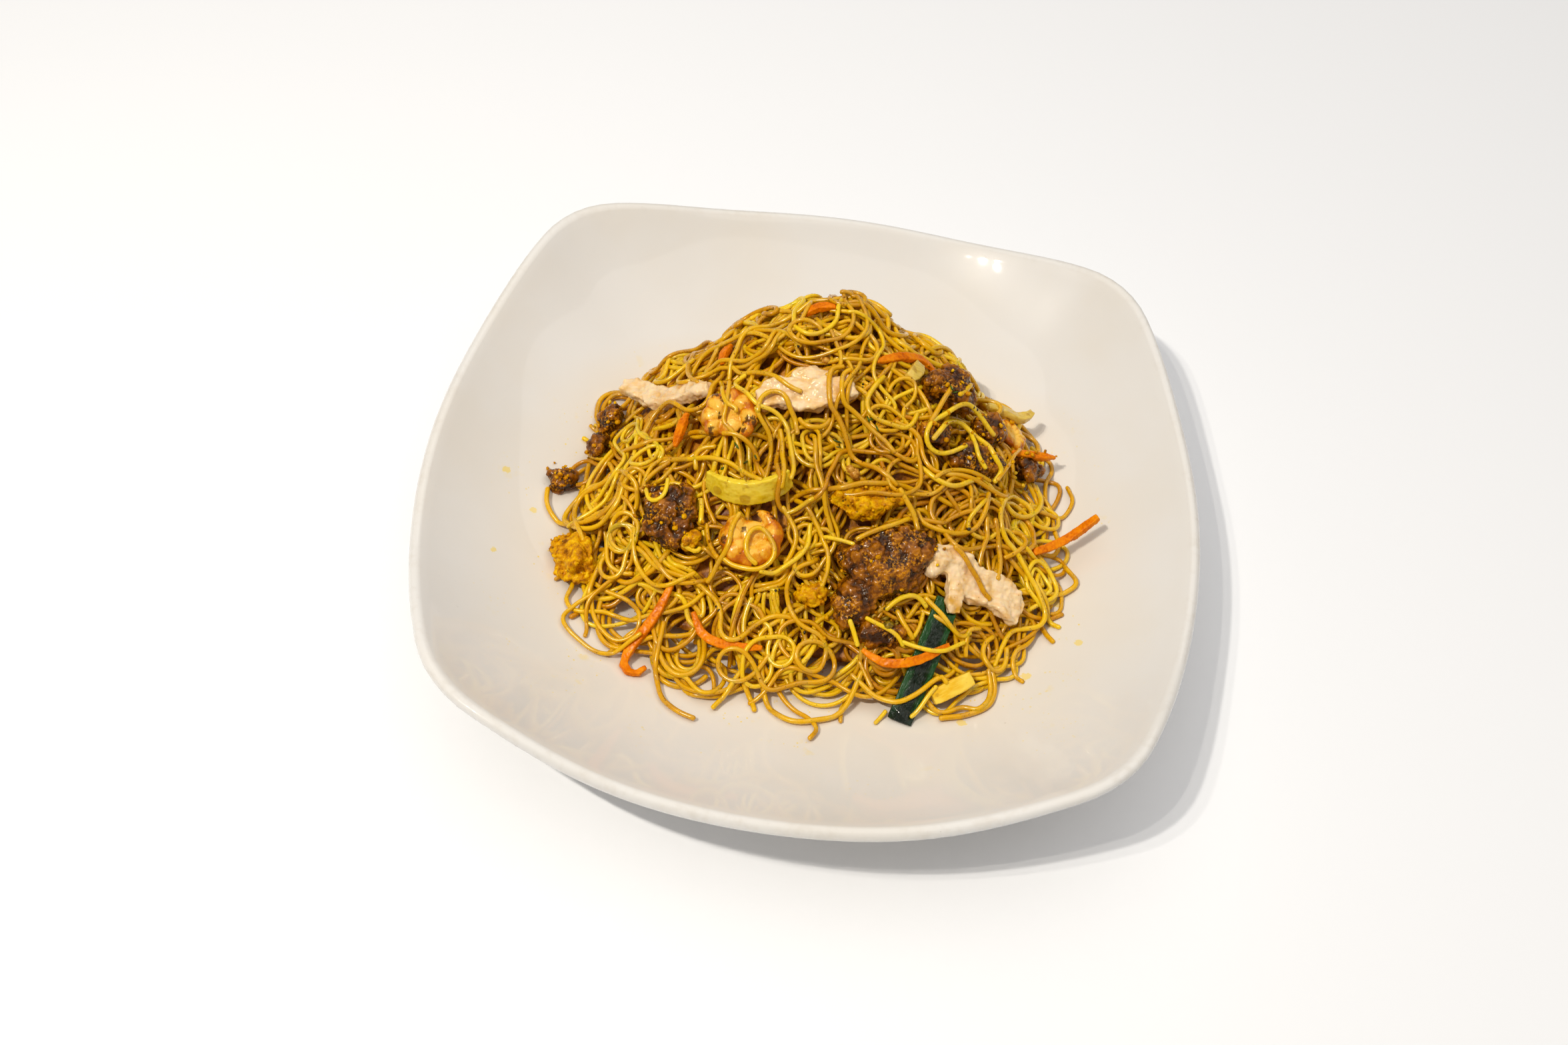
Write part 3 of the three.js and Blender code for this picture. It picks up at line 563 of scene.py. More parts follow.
@dataclass(frozen=True)
class Scrap:
    """Small bits of garnish: one colour, clouded with a darker one."""

    name: str
    light: Colour
    dark: Colour
    gloss: float = 0.2

    def material(self) -> Material:
        """Builds the finish."""
        paint = Paint(self.name)
        clouds = paint.noise(0.9 * MM, 3)
        paint.colour = paint.mix(self.dark, self.light, clouds.between(0.35, 0.65))
        relief = paint.bump(clouds, 0.2 * MM)
        return paint.done(Roughness=clouds * 0.3 + 0.2, Normal=relief, Coat_Weight=self.gloss, **OIL)


@dataclass(frozen=True)
class BowlShape:
    """A turned bowl, stretched to a square with bowed sides and raised corners, as its solid is."""

    half_width: float = 131 * MM
    side_radius: float = 220.85 * MM
    corner_radius: float = 42.9 * MM
    corner_rise: float = 10.6 * MM
    corner_sharpness: float = 2.58
    rim_height: float = 40 * MM
    floor_height: float = 9 * MM
    floor_radius: float = 39 * MM
    wall: float = 4.6 * MM
    wall_curve: float = 2.45
    foot_radius: float = 62 * MM
    foot_width: float = 5 * MM
    foot_rounding: float = 1.2 * MM

    @property
    def mouth_radius(self) -> float:
        """Radius of the inner face at the lip."""
        return self.half_width - 0.8 * self.wall

    @property
    def mouth_height(self) -> float:
        """Height of the inner face at the lip."""
        return self.rim_height - 0.11 * self.wall

    def outline_radius(self, angle: Array) -> Array:
        """Distance from the middle to the rim, seen from above.

        Args:
            angle: Directions from the middle.

        Returns:
            The rim's distance in each.
        """
        side = self.half_width - self.side_radius
        reach = self.side_radius - self.corner_radius
        corner = (side + math.sqrt(2 * reach**2 - side**2)) / 2
        turn = math.atan2(corner, corner - side)
        join = math.atan2(self.side_radius * math.sin(turn), side + self.side_radius * math.cos(turn))
        quarter = math.pi / 2
        folded = np.abs(angle - quarter * np.round(angle / quarter))
        c, s = np.cos(folded), np.sin(folded)
        on_side = side * c + np.sqrt(self.side_radius**2 - (side * s) ** 2)
        inside = np.maximum(self.corner_radius**2 - (corner * (c - s)) ** 2, 0)
        return np.where(folded < join, on_side, corner * (c + s) + np.sqrt(inside))

    def corner_lift(self, radius: Array, angle: Array) -> Array:
        """How far the corners rise above the sides."""
        towards = (0.5 - 0.5 * np.cos(4 * angle)) ** self.corner_sharpness
        beyond = np.clip((radius - self.foot_radius) / (self.half_width - self.foot_radius), 0, 2)
        return self.corner_rise * towards * beyond**2

    def wall_height(self, radius: Array) -> Array:
        """Height of the inner face before the corners are raised."""
        up = np.clip((radius - self.floor_radius) / (self.mouth_radius - self.floor_radius), 0, 2)
        return self.floor_height + (self.mouth_height - self.floor_height) * up**self.wall_curve

    def height(self, x: Array, y: Array) -> Array:
        """Height of the inner face at places on the plan."""
        angle = np.arctan2(y, x)
        radius = np.hypot(x, y) * self.half_width / self.outline_radius(angle)
        return self.wall_height(radius) + self.corner_lift(radius, angle)

    def wall_slope(self, radius: Array) -> Array:
        """Angle of the inner face above level."""
        step = 0.01 * MM
        return np.arctan2(self.wall_height(radius + step) - self.wall_height(radius - step), 2 * step)

    def profile(
        self, floor_rows: int = 7, inner_rows: int = 34, lip_rows: int = 12, outer_rows: int = 26,
    ) -> Array:
        """The turned section, from the middle of the inner face over the lip to the foot's middle.

        Args:
            floor_rows: Points across the level floor.
            inner_rows: Points up the inner face.
            lip_rows: Points round the lip.
            outer_rows: Points down the outer face.

        Returns:
            The distance from the axis and the height of each point.
        """
        floor = [(r, self.floor_height) for r in np.linspace(0, self.floor_radius, floor_rows)]
        rows = np.linspace(0, 1, inner_rows)[1:]
        radii = self.floor_radius + (self.mouth_radius - self.floor_radius) * rows**0.9
        inner = list(zip(radii, self.wall_height(radii)))
        slope = float(self.wall_slope(np.array(self.mouth_radius)))
        half = self.wall / 2
        centre = (self.mouth_radius + half * math.sin(slope), self.mouth_height - half * math.cos(slope))
        turns = slope + math.pi / 2 - math.pi * np.linspace(0, 1, lip_rows)[1:-1]
        lip = [(centre[0] + half * math.cos(t), centre[1] + half * math.sin(t)) for t in turns]
        radii = np.linspace(self.mouth_radius, self.foot_radius, outer_rows)
        slopes = self.wall_slope(radii)
        below = (radii + self.wall * np.sin(slopes), self.wall_height(radii) - self.wall * np.cos(slopes))
        outer = list(zip(*below))
        inside = self.foot_radius - self.foot_width
        turn, edge = self.foot_rounding, 0.35 * self.foot_rounding
        recess = self.floor_height - self.wall
        foot = [
            (self.foot_radius, turn), (self.foot_radius - edge, edge), (self.foot_radius - turn, 0),
            (inside + turn, 0), (inside + edge, edge), (inside, turn), (inside - turn, recess),
            (inside / 2, recess), (0, recess),
        ]
        return np.array([*floor, *inner, *lip, *outer, *foot])


@dataclass(frozen=True)
class HeapShape:
    """An uneven mound that leans to the back of the bowl, as its solid is."""

    bowl: BowlShape
    centre: tuple[float, float] = (1.9 * MM, -3.7 * MM)
    half_width: float = 87.3 * MM
    front: float = 71.9 * MM
    back: float = 82.2 * MM
    squareness: float = 2.62
    top: tuple[float, float] = (-0.9 * MM, 52.8 * MM)
    rise: float = 63.1 * MM
    front_steepness: float = 1.36
    back_steepness: float = 2.1
    least_share: float = 1e-3
    greatest_share: float = 4.0
    halvings: int = 24

    def foot_points(self, angle: Array) -> Array:
        """Places on the mound's foot, seen from above.

        Args:
            angle: Directions from the foot's middle.

        Returns:
            The foot's place in each.
        """
        c, s = np.cos(angle), np.sin(angle)
        depth = np.where(s > 0, self.back, self.front)
        power = self.squareness
        reach = (np.abs(c / self.half_width) ** power + np.abs(s / depth) ** power) ** (-1 / power)
        return np.stack([self.centre[0] + reach * c, self.centre[1] + reach * s], -1)

    def share(self, x: Array, y: Array) -> Array:
        """How far places lie on the way from the top to the foot.

        Args:
            x: How far right each place is.
            y: How far back each place is.

        Returns:
            0 at the top, 1 on the foot, and more beyond it.
        """
        dx, dy = x - self.top[0], y - self.top[1]
        low, high = np.full(np.shape(x), self.least_share), np.full(np.shape(x), self.greatest_share)
        for _ in range(self.halvings):
            middle = (low + high) / 2
            across = self.top[0] + dx / middle - self.centre[0]
            deep = self.top[1] + dy / middle - self.centre[1]
            depth = np.where(deep > 0, self.back, self.front)
            power = self.squareness
            inside = np.abs(across / self.half_width) ** power + np.abs(deep / depth) ** power <= 1
            high, low = np.where(inside, middle, high), np.where(inside, low, middle)
        return (low + high) / 2

    def height(self, x: Array, y: Array) -> Array:
        """Height of the outermost noodles, or of the bowl beyond the foot.

        Args:
            x: How far right each place is.
            y: How far back each place is.

        Returns:
            The height at each place.
        """
        share = self.share(x, y)
        foot_x = self.top[0] + (x - self.top[0]) / share
        foot_y = self.top[1] + (y - self.top[1]) / share
        floor = self.bowl.floor_height
        bottom = self.bowl.height(foot_x, foot_y) * share**2 + floor * (1 - share**2)
        backward = np.maximum(0, np.sin(np.arctan2(foot_y - self.top[1], foot_x - self.top[0])))
        steepness = self.front_steepness + (self.back_steepness - self.front_steepness) * backward
        mound = bottom + self.rise * (1 - share**steepness)
        return np.where(share < 1, mound, self.bowl.height(x, y))


def choose(piece: Piece) -> None:
    """Makes a piece the only one that is selected, and the active one."""
    bpy.ops.object.select_all(action="DESELECT")
    piece.select_set(True)
    bpy.context.view_layer.objects.active = piece


def apply_modifier(piece: Piece, kind: str, **settings: object) -> None:
    """Adds a modifier with these settings and applies it.

    Args:
        piece: The piece.
        kind: The modifier's type.
        settings: Its properties.
    """
    choose(piece)
    bpy.ops.object.modifier_add(type=kind)
    added = piece.modifiers[-1]
    for key, value in settings.items():
        setattr(added, key, value)
    bpy.ops.object.modifier_apply(modifier=added.name)


def remesh(piece: Piece, cell: float, soften: int) -> None:
    """Meshes a piece anew in even cells, and softens it that many times."""
    apply_modifier(piece, "REMESH", mode="VOXEL", voxel_size=cell)
    apply_modifier(piece, "SMOOTH", factor=0.5, iterations=soften)


def coordinates(piece: Piece) -> Array:
    """The piece's vertices, one row each."""
    flat = np.empty(len(piece.data.vertices) * 3)
    piece.data.vertices.foreach_get("co", flat)
    return flat.reshape(-1, 3)


def place_points(piece: Piece, points: Array) -> None:
    """Moves the piece's vertices to these points."""
    piece.data.vertices.foreach_set("co", points.astype(np.float32).ravel())
    piece.data.update()


def keep_number(piece: Piece, name: str, values: Array) -> None:
    """Keeps one number for each vertex on the mesh."""
    attribute = piece.data.attributes.new(name, "FLOAT", "POINT")
    attribute.data.foreach_set("value", values.astype(np.float32))


def put(name: str, data: bpy.types.ID) -> Piece:
    """Puts an object with this data in the scene."""
    made = bpy.data.objects.new(name, data)
    bpy.context.scene.collection.objects.link(made)
    return made


def unit_ball(name: str, segments: int, rings: int) -> Piece:
    """Adds a ball with a radius of 1.

    Args:
        name: The piece's name.
        segments: Faces round it.
        rings: Faces from top to bottom.

    Returns:
        The ball.
    """
    bpy.ops.object.select_all(action="DESELECT")
    bpy.ops.mesh.primitive_uv_sphere_add(segments=segments, ring_count=rings, radius=1)
    piece = bpy.context.active_object
    piece.name = name
    return piece


def nodes_named(*starts: str) -> list[str]:
    """The imported parts whose names start with any of these."""
    return [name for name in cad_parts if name.startswith(starts)]


def in_metres(places: Places) -> list[tuple[float, ...]]:
    """Places given in millimetres, in metres."""
    return [tuple(value * MM for value in place) for place in places]


def mesh_piece(name: str, points: Array, edges: Iterable, faces: Iterable) -> Piece:
    """Makes a piece from points, edges and faces, and puts it in the scene."""
    mesh = bpy.data.meshes.new(name)
    mesh.from_pydata([tuple(p) for p in points], list(edges), list(faces))
    return put(name, mesh)


def dress(
    piece: Piece, material: Material, nodes: Sequence[str] = (),
) -> Piece:
    """Gives a piece its finish and its place in the part.

    Args:
        piece: The finished mesh.
        material: Its only material.
        nodes: The solids that it stands for.

    Returns:
        The piece.
    """
    piece.data.materials.clear()
    piece.data.materials.append(material)
    piece.data.shade_smooth()
    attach(piece, BODY)
    if nodes:
        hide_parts(*nodes)
    LOG.info("%s: %d faces", piece.name, len(piece.data.polygons))
    return piece


@dataclass
class Bowl:
    """The glazed bowl."""

    shape: BowlShape
    heap: HeapShape
    columns: int = 168
    worn_reach: float = 9 * MM
    food_band_share: float = 1.32
    food_band_width: float = 0.3

    def build(self) -> Piece:
        """Turns the section, stretches it to the outline and dresses it.

        Returns:
            The finished piece.
        """
        section = self.shape.profile()
        points = np.column_stack([section[:, 0], np.zeros(len(section)), section[:, 1]])
        edges = [(i, i + 1) for i in range(len(points) - 1)]
        piece = mesh_piece("bowl_glazed", points, edges, [])
        choose(piece)
        bpy.ops.object.mode_set(mode="EDIT")
        bpy.ops.mesh.select_all(action="SELECT")
        bpy.ops.mesh.spin(steps=self.columns, angle=2 * math.pi, center=(0, 0, 0), axis=(0, 0, 1))
        bpy.ops.mesh.select_all(action="SELECT")
        bpy.ops.mesh.remove_doubles(threshold=TOUCHING)
        bpy.ops.mesh.normals_make_consistent(inside=False)
        bpy.ops.object.mode_set(mode="OBJECT")
        self._stretch(piece)
        return dress(piece, Glaze().material(), ["bowl"])

    def _stretch(self, piece: Piece) -> None:
        """Stretches the turned shape, and marks its lip and how near the food each place is.

        Args:
            piece: The turned shape, which is changed.
        """
        turned = coordinates(piece)
        radius = np.hypot(turned[:, 0], turned[:, 1])
        angle = np.arctan2(turned[:, 1], turned[:, 0])
        reach = radius * self.shape.outline_radius(angle) / self.shape.half_width
        lift = self.shape.corner_lift(radius, angle)
        x, y = reach * np.cos(angle), reach * np.sin(angle)
        place_points(piece, np.column_stack([x, y, turned[:, 2] + lift]))
        lip = np.hypot(radius - self.shape.half_width, turned[:, 2] - self.shape.rim_height)
        keep_number(piece, "lip", np.clip(1 - lip / self.worn_reach, 0, 1))
        above = turned[:, 2] > self.shape.floor_height - self.shape.wall / 2
        near = np.clip((self.food_band_share - self.heap.share(x, y)) / self.food_band_width, 0, 1)
        keep_number(piece, "nearness", near * above)


@dataclass
class Ground:
    """The heap's outer surface and the bowl round it, as grids on the plan."""

    heap: HeapShape
    cell: float = 1 * MM
    reach: float = 124 * MM
    edge_share: float = 0.9
    edge_waves: tuple[tuple[int, float], ...] = ((7, 1.3), (17, 0.4))
    ragged: float = 0.012
    bumps: float = 1.5 * MM
    bump_waves: int = 14
    bump_lengths_mm: tuple[float, float] = (14, 34)
    smooth_share: float = 0.97
    smooth_width: float = 0.2
    sunk: float = 0.9 * MM
    room: float = 7 * MM
    seed: int = 3
    grids: dict[str, Array] = field(default_factory=dict)

    def __post_init__(self) -> None:
        """Works the grids out."""
        line = np.arange(-self.reach, self.reach + self.cell / 2, self.cell)
        x, y = np.meshgrid(line, line, indexing="ij")
        height = np.maximum(self.heap.height(x, y), self.heap.bowl.height(x, y))
        share = self.heap.share(x, y)
        inner = np.clip((self.smooth_share - share) / self.smooth_width, 0, 1)
        height = height + self._unevenness(x, y) * inner
        slope_x, slope_y = np.gradient(height, self.cell)
        self.grids = {"height": height, "slope_x": slope_x, "slope_y": slope_y, "share": share}
        angle = np.arctan2(y - self.heap.centre[1], x - self.heap.centre[0])
        waves = sum(np.sin(number * angle + start) for number, start in self.edge_waves)
        edge = self.edge_share + self.ragged * waves
        self.grids["edge"] = np.clip((share - edge) / (1 - self.edge_share), 0, 2)
        self.set_push(self.grids["edge"])

    def _unevenness(self, x: Array, y: Array) -> Array:
        """Humps and hollows a few strands high, and slightly sunk ground at the toppings.

        Args:
            x: How far right each place is.
            y: How far back each place is.

        Returns:
            How far the surface is raised at each place.
        """
        draw = np.random.default_rng(self.seed)
        waves = np.zeros(x.shape)
        for _ in range(self.bump_waves):
            way, start = draw.uniform(0, 2 * math.pi, 2)
            length = draw.uniform(*self.bump_lengths_mm) * MM
            waves += np.sin((x * math.cos(way) + y * math.sin(way)) * 2 * math.pi / length + start)
        away = np.ones(x.shape)
        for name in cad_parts:
            if name not in ("bowl", "noodles"):
                low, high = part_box(name)
                dx = np.maximum(np.maximum(low[0] - x, x - high[0]), 0)
                dy = np.maximum(np.maximum(low[1] - y, y - high[1]), 0)
                away = np.minimum(away, np.clip(np.hypot(dx, dy) / self.room, 0, 1))
        return self.bumps * waves / math.sqrt(self.bump_waves / 2) * away - self.sunk * (1 - away)

    def set_push(self, push: Array) -> None:
        """Keeps what turns strands away: how strongly, and in which direction it grows."""
        push_x, push_y = np.gradient(push, self.cell)
        length = np.maximum(np.hypot(push_x, push_y), 1e-9)
        self.grids.update(push=push, push_x=push_x / length, push_y=push_y / length)

    def look(self, name: str, x: Array, y: Array) -> Array:
        """Reads a grid between its points.

        Args:
            name: The grid.
            x: How far right each place is.
            y: How far back each place is.

        Returns:
            The grid's value at each place.
        """
        grid = self.grids[name]
        top = len(grid) - 1.001
        across = np.clip((x + self.reach) / self.cell, 0, top)
        deep = np.clip((y + self.reach) / self.cell, 0, top)
        i, j = across.astype(int), deep.astype(int)
        u, v = across - i, deep - j
        front = grid[i, j] * (1 - u) + grid[i + 1, j] * u
        back = grid[i, j + 1] * (1 - u) + grid[i + 1, j + 1] * u
        return front * (1 - v) + back * v

    def on_surface(self, x: Array, y: Array) -> Array:
        """Points of the surface over places on the plan."""
        return np.stack([x, y, self.look("height", x, y)], -1)

    def normals(self, x: Array, y: Array) -> Array:
        """Outward directions at places on the plan."""
        slopes = [-self.look("slope_x", x, y), -self.look("slope_y", x, y), np.ones(np.shape(x))]
        return unit(np.stack(slopes, -1))


def unit(vectors: Array) -> Array:
    """Vectors of length 1 in the same directions."""
    return vectors / np.maximum(np.linalg.norm(vectors, axis=-1, keepdims=True), 1e-12)


def blurred(values: Array, spread: float) -> Array:
    """Smooths values along a strand.

    Args:
        values: One value or vector for each point.
        spread: How many steps it is smoothed over.

    Returns:
        The smoothed values.
    """
    reach = max(1, int(3 * spread))
    weights = np.exp(-0.5 * (np.arange(-reach, reach + 1) / spread) ** 2)
    weights /= weights.sum()
    flat = values.reshape(len(values), -1)
    padded = np.pad(flat, ((reach, reach), (0, 0)), mode="edge")
    columns = [np.convolve(column, weights, mode="valid") for column in padded.T]
    return np.stack(columns, -1).reshape(values.shape)


def smooth_path(places: Places, step: float, parts: int = 12) -> Array:
    """Draws a smooth line through places on the plan.

    Args:
        places: The places, in order.
        step: How far apart the line's points are.
        parts: How many short lines join one place to the next before the points are spread.

    Returns:
        The line's points.
    """
    points = np.array(places, float)[:, :2]
    ends = (2 * points[0] - points[1], 2 * points[-1] - points[-2])
    points = np.vstack([ends[0], points, ends[1]])
    line = []
    for before, start, end, after in zip(points, points[1:], points[2:], points[3:]):
        for t in np.linspace(0, 1, parts, endpoint=False):
            bend = (2 * start + (end - before) * t + (2 * before - 5 * start + 4 * end - after) * t**2
                    + (3 * start - before - 3 * end + after) * t**3) / 2
            line.append(bend)
    line = np.array([*line, points[-2]])
    travelled = np.concatenate([[0], np.cumsum(np.linalg.norm(np.diff(line, axis=0), axis=1))])
    count = max(3, int(round(travelled[-1] / step)) + 1)
    even = np.linspace(0, travelled[-1], count)
    return np.column_stack([np.interp(even, travelled, line[:, k]) for k in range(2)])


@dataclass
class Bed:
    """The room that is taken by the bowl, the core, the toppings and the strands, as cells of a grid."""

    ground: Ground
    depth: float = 8 * MM
    deepest: float = 2.2
    search_depth: float = 1.6
    cell: float = 0.6 * MM
    low: Point = (-116 * MM, -106 * MM, 4 * MM)
    high: Point = (116 * MM, 104 * MM, 92 * MM)
    headroom: float = 9 * MM
    core_gap: float = 0.6 * MM

    def __post_init__(self) -> None:
        """Fills all that lies below the core and the bowl."""
        self.counts = np.ceil((np.array(self.high) - self.low) / self.cell).astype(int)
        centres = [low + (np.arange(n) + 0.5) * self.cell for low, n in zip(self.low, self.counts)]
        x, y = np.meshgrid(centres[0], centres[1], indexing="ij")
        self.taken = centres[2][None, None, :] < self.core_height(x, y)[:, :, None]

    def core_height(self, x: Array, y: Array) -> Array:
        """Height of the core under the strands, or of the bowl."""
        slope = np.hypot(self.ground.look("slope_x", x, y), self.ground.look("slope_y", x, y))
        drop = np.minimum(self.depth * np.hypot(1, slope), self.deepest * self.depth)
        floor = self.ground.heap.bowl.height(x, y)
        return np.maximum(self.ground.look("height", x, y) - drop, floor + self.core_gap)

    def _cells(self, points: Array) -> tuple[Array, ...]:
        """The cells that points lie in."""
        index = np.floor((points - self.low) / self.cell).astype(int)
        index = np.clip(index, 0, self.counts - 1)
        return tuple(np.moveaxis(index, -1, 0))

    def mark(self, points: Array, radius: float = 0.0) -> None:
        """Takes the cells within a radius of each point.

        Args:
            points: Middles of what takes room.
            radius: How far round each it reaches.
        """
        reach = int(math.ceil(radius / self.cell))
        line = np.arange(-reach, reach + 1) * self.cell
        ball = np.stack(np.meshgrid(line, line, line, indexing="ij"), -1).reshape(-1, 3)
        ball = ball[np.linalg.norm(ball, axis=1) <= radius + 1e-9]
        self.taken[self._cells(points[:, None, :] + ball)] = True

    def tops(self, feet: Array, normals: Array, sides: Array, width: float) -> Array:
        """How high the taken room reaches above a depth under each foot.

        Args:
            feet: Points of the heap's outer surface.
            normals: Outward directions there.
            sides: Directions across the strand.
            width: How far to each side it looks.

        Returns:
            The height over the foot, which is below 0 where there is room under the surface.
        """
        rises = np.arange(-self.search_depth * self.depth, self.headroom, 0.5 * self.cell)
        across = np.array([-1.0, 0.0, 1.0]) * width
        probes = (feet[:, None, None, :] + normals[:, None, None, :] * rises[None, :, None, None]
                  + sides[:, None, None, :] * across[None, None, :, None])
        full = self.taken[self._cells(probes)].any(axis=2)
        last = full.shape[1] - 1 - np.argmax(full[:, ::-1], axis=1)
        return np.where(full.any(axis=1), rises[last], rises[0])


@dataclass
class Strand:
    """One noodle: its middle line, the outward directions along it, and its look."""

    points: Array
    normals: Array
    radius: float
    tone: float
    kind: Tone


@dataclass
class StrandLayer:
    """Lays strands one after another, each resting on what lies below it."""

    bed: Bed
    seed: int
    radius: float = 0.81 * MM
    thinnest: float = 0.88
    thickest: float = 1.14
    step: float = 1.4 * MM
    shortest: int = 36
    longest: int = 170
    start_x: tuple[float, float] = (-90 * MM, 92 * MM)
    start_y: tuple[float, float] = (-78 * MM, 80 * MM)
    start_share: float = 0.97
    start_chance: float = 0.4
    curl: float = 1 / (8 * MM)
    curl_length: float = 9 * MM
    curl_spread: tuple[float, float] = (-0.1, 0.45)
    drift: float = 0.35
    tightest: float = 1 / (4 * MM)
    pull_radius: float = 6.5 * MM
    pull_most: float = 1.4
    glancing: float = 0.15
    leaving: float = -0.35
    batch: int = 96
    outermost: float = 1.02
    bearing: float = 0.8
    give: float = 0.35
    room: float = 0.9
    path_blur: float = 1.5
    settling: int = 5
    settling_blur: float = 2.2
    height_blur: float = 1.4
    line_blur: float = 0.7
    tail_length: float = 6 * MM
    tails: tuple[float, ...] = (1.5, 3.0, 4.5)
    company: tuple[int, ...] = (0, 0, 0, 1, 1, 2)
    company_gap: tuple[float, float] = (2.0, 2.8)
    company_drift: float = 6 * MM
    company_blur: float = 9
    pushed: float = 0.8
    idle_share: float = 0.02
    idle_batches: int = 3
    strands: list[Strand] = field(default_factory=list)

    def __post_init__(self) -> None:
        """Starts the draws."""
        self.draw = np.random.default_rng(self.seed)
        self.ground = self.bed.ground

    def _starts(self, count: int) -> tuple[Array, Array]:
        """Places on the heap, evenly spread over its surface.

        Args:
            count: How many places.

        Returns:
            How far right and how far back each is.
        """
        found = []
        while len(found) < count:
            x, y = self.draw.uniform(*self.start_x), self.draw.uniform(*self.start_y)
            steep = float(np.hypot(self.ground.look("slope_x", x, y), self.ground.look("slope_y", x, y)))
            chance = min(1, self.start_chance * (1 + steep))
            if float(self.ground.look("share", x, y)) < self.start_share and self.draw.random() < chance:
                found.append((x, y))
        return tuple(np.array(found).T)

    def _pull(self, point: Array, ahead: Array, side: Array, hand: Array) -> Array:
        """How sharply strands turn from the foot and from toppings.

        Args:
            point: Where each strand is.
            ahead: Where it goes.
            side: The direction across it.
            hand: The way it turns if it meets them head on.

        Returns:
            The bend of each strand, as 1 over a radius.
        """
        x, y = point[:, 0], point[:, 1]
        away = np.stack([self.ground.look("push_x", x, y), self.ground.look("push_y", x, y)], -1)
        push = np.clip(self.ground.look("push", x, y), 0, self.pull_most)
        across = np.sum(side[:, :2] * away, -1)
        outward = np.sum(ahead[:, :2] * away, -1)
        turn = np.where(np.abs(across) > self.glancing, -np.sign(across), hand)
        return turn * push * (outward > self.leaving) / self.pull_radius

    def wander(self) -> list[Array]:
        """A batch of curly paths over the surface, which turn back at the foot and at toppings.

        Returns:
            Points of each path that is long enough.
        """
        count = self.batch
        x, y = self._starts(count)
        point = self.ground.on_surface(x, y)
        angle = self.draw.uniform(0, 2 * math.pi, count)
        ahead = np.stack([np.cos(angle), np.sin(angle), np.zeros(count)], -1)
        hand = self.draw.choice([-1.0, 1.0], count)
        curl = self.curl * np.exp(self.draw.normal(*self.curl_spread, count))
        bend = self.draw.normal(0, 1, count) * curl
        keep = 1 - self.step / self.curl_length
        jitter = curl * math.sqrt(1 - keep**2)
        drift = self.draw.normal(0, self.drift, count) * curl
        line = [point]
        for _ in range(self.longest - 1):
            normal = self.ground.normals(point[:, 0], point[:, 1])
            ahead = unit(ahead - normal * np.sum(ahead * normal, -1, keepdims=True))
            side = np.cross(normal, ahead)
            pull = self._pull(point, ahead, side, hand)
            bend = bend * keep + self.draw.normal(0, 1, count) * jitter
            total = np.clip(bend + drift + pull, -self.tightest, self.tightest)
            ahead = unit(ahead + side * (total * self.step)[:, None])
            point = point + ahead * self.step
            point = self.ground.on_surface(point[:, 0], point[:, 1])
            line.append(point)
        paths = np.stack(line, 1)
        lengths = self.draw.integers(self.shortest, self.longest, count)
        outside = self.ground.look("share", paths[..., 0], paths[..., 1]) > self.outermost
        lengths = np.where(outside.any(axis=1), np.minimum(lengths, outside.argmax(axis=1)), lengths)
        return [path[:length] for path, length in zip(paths, lengths) if length >= self.shortest]

    def rest(self, path: Array, tails: tuple[float, float] = (0.0, 0.0)) -> tuple[Array, ...]:
        """Where a strand comes to rest on what lies under a path.

        Args:
            path: Points of the outer surface, a step apart.
            tails: How deep each end dips into the heap.

        Returns:
            Its middle line, the outward directions, and its height over the surface.
        """
        normals = self.ground.normals(path[:, 0], path[:, 1])
        normals = unit(blurred(normals, self.path_blur))
        sides = unit(np.cross(normals, unit(np.gradient(path, axis=0))))
        needed = self.bed.tops(path, normals, sides, self.bearing * self.radius) + self.radius
        height = needed.copy()
        for _ in range(self.settling):
            height = np.maximum(blurred(height, self.settling_blur), needed - self.give * self.radius)
        height = blurred(height, self.height_blur)
        travelled = np.arange(len(path)) * self.step
        for tail, way in zip(tails, (travelled, travelled[::-1])):
            height = height - tail * np.exp(-((way / self.tail_length) ** 2))
        points = path + normals * height[:, None]
        lowest = self.ground.heap.bowl.height(points[:, 0], points[:, 1]) + self.radius
        points[:, 2] = np.maximum(points[:, 2], lowest)
        return points, normals, height

    def lay(self, path: Array, kind: Tone, tails: tuple[float, float] = (0.0, 0.0)) -> None:
        """Lays one strand and takes its room.

        Args:
            path: Points of the outer surface, a step apart.
            kind: The strand's tone.
            tails: How deep each end dips into the heap.
        """
        points, normals, _ = self.rest(path, tails)
        points = blurred(points, self.line_blur)
        halfway = (points[1:] + points[:-1]) / 2
        self.bed.mark(np.vstack([points, halfway]), self.room * self.radius)
        radius = self.radius * self.draw.uniform(self.thinnest, self.thickest)
        self.strands.append(Strand(points, normals, radius, float(self.draw.random()), kind))

    def trace(self, places: Places, kind: Tone, tail: float = 0.0) -> None:
        """Lays one strand through places in millimetres on the plan.

        Args:
            places: The places, in order.
            kind: The strand's tone.
            tail: How deep both ends dip into the heap.
        """
        plan = smooth_path(in_metres(places), self.step)
        self.lay(self.ground.on_surface(plan[:, 0], plan[:, 1]), kind, (tail, tail))

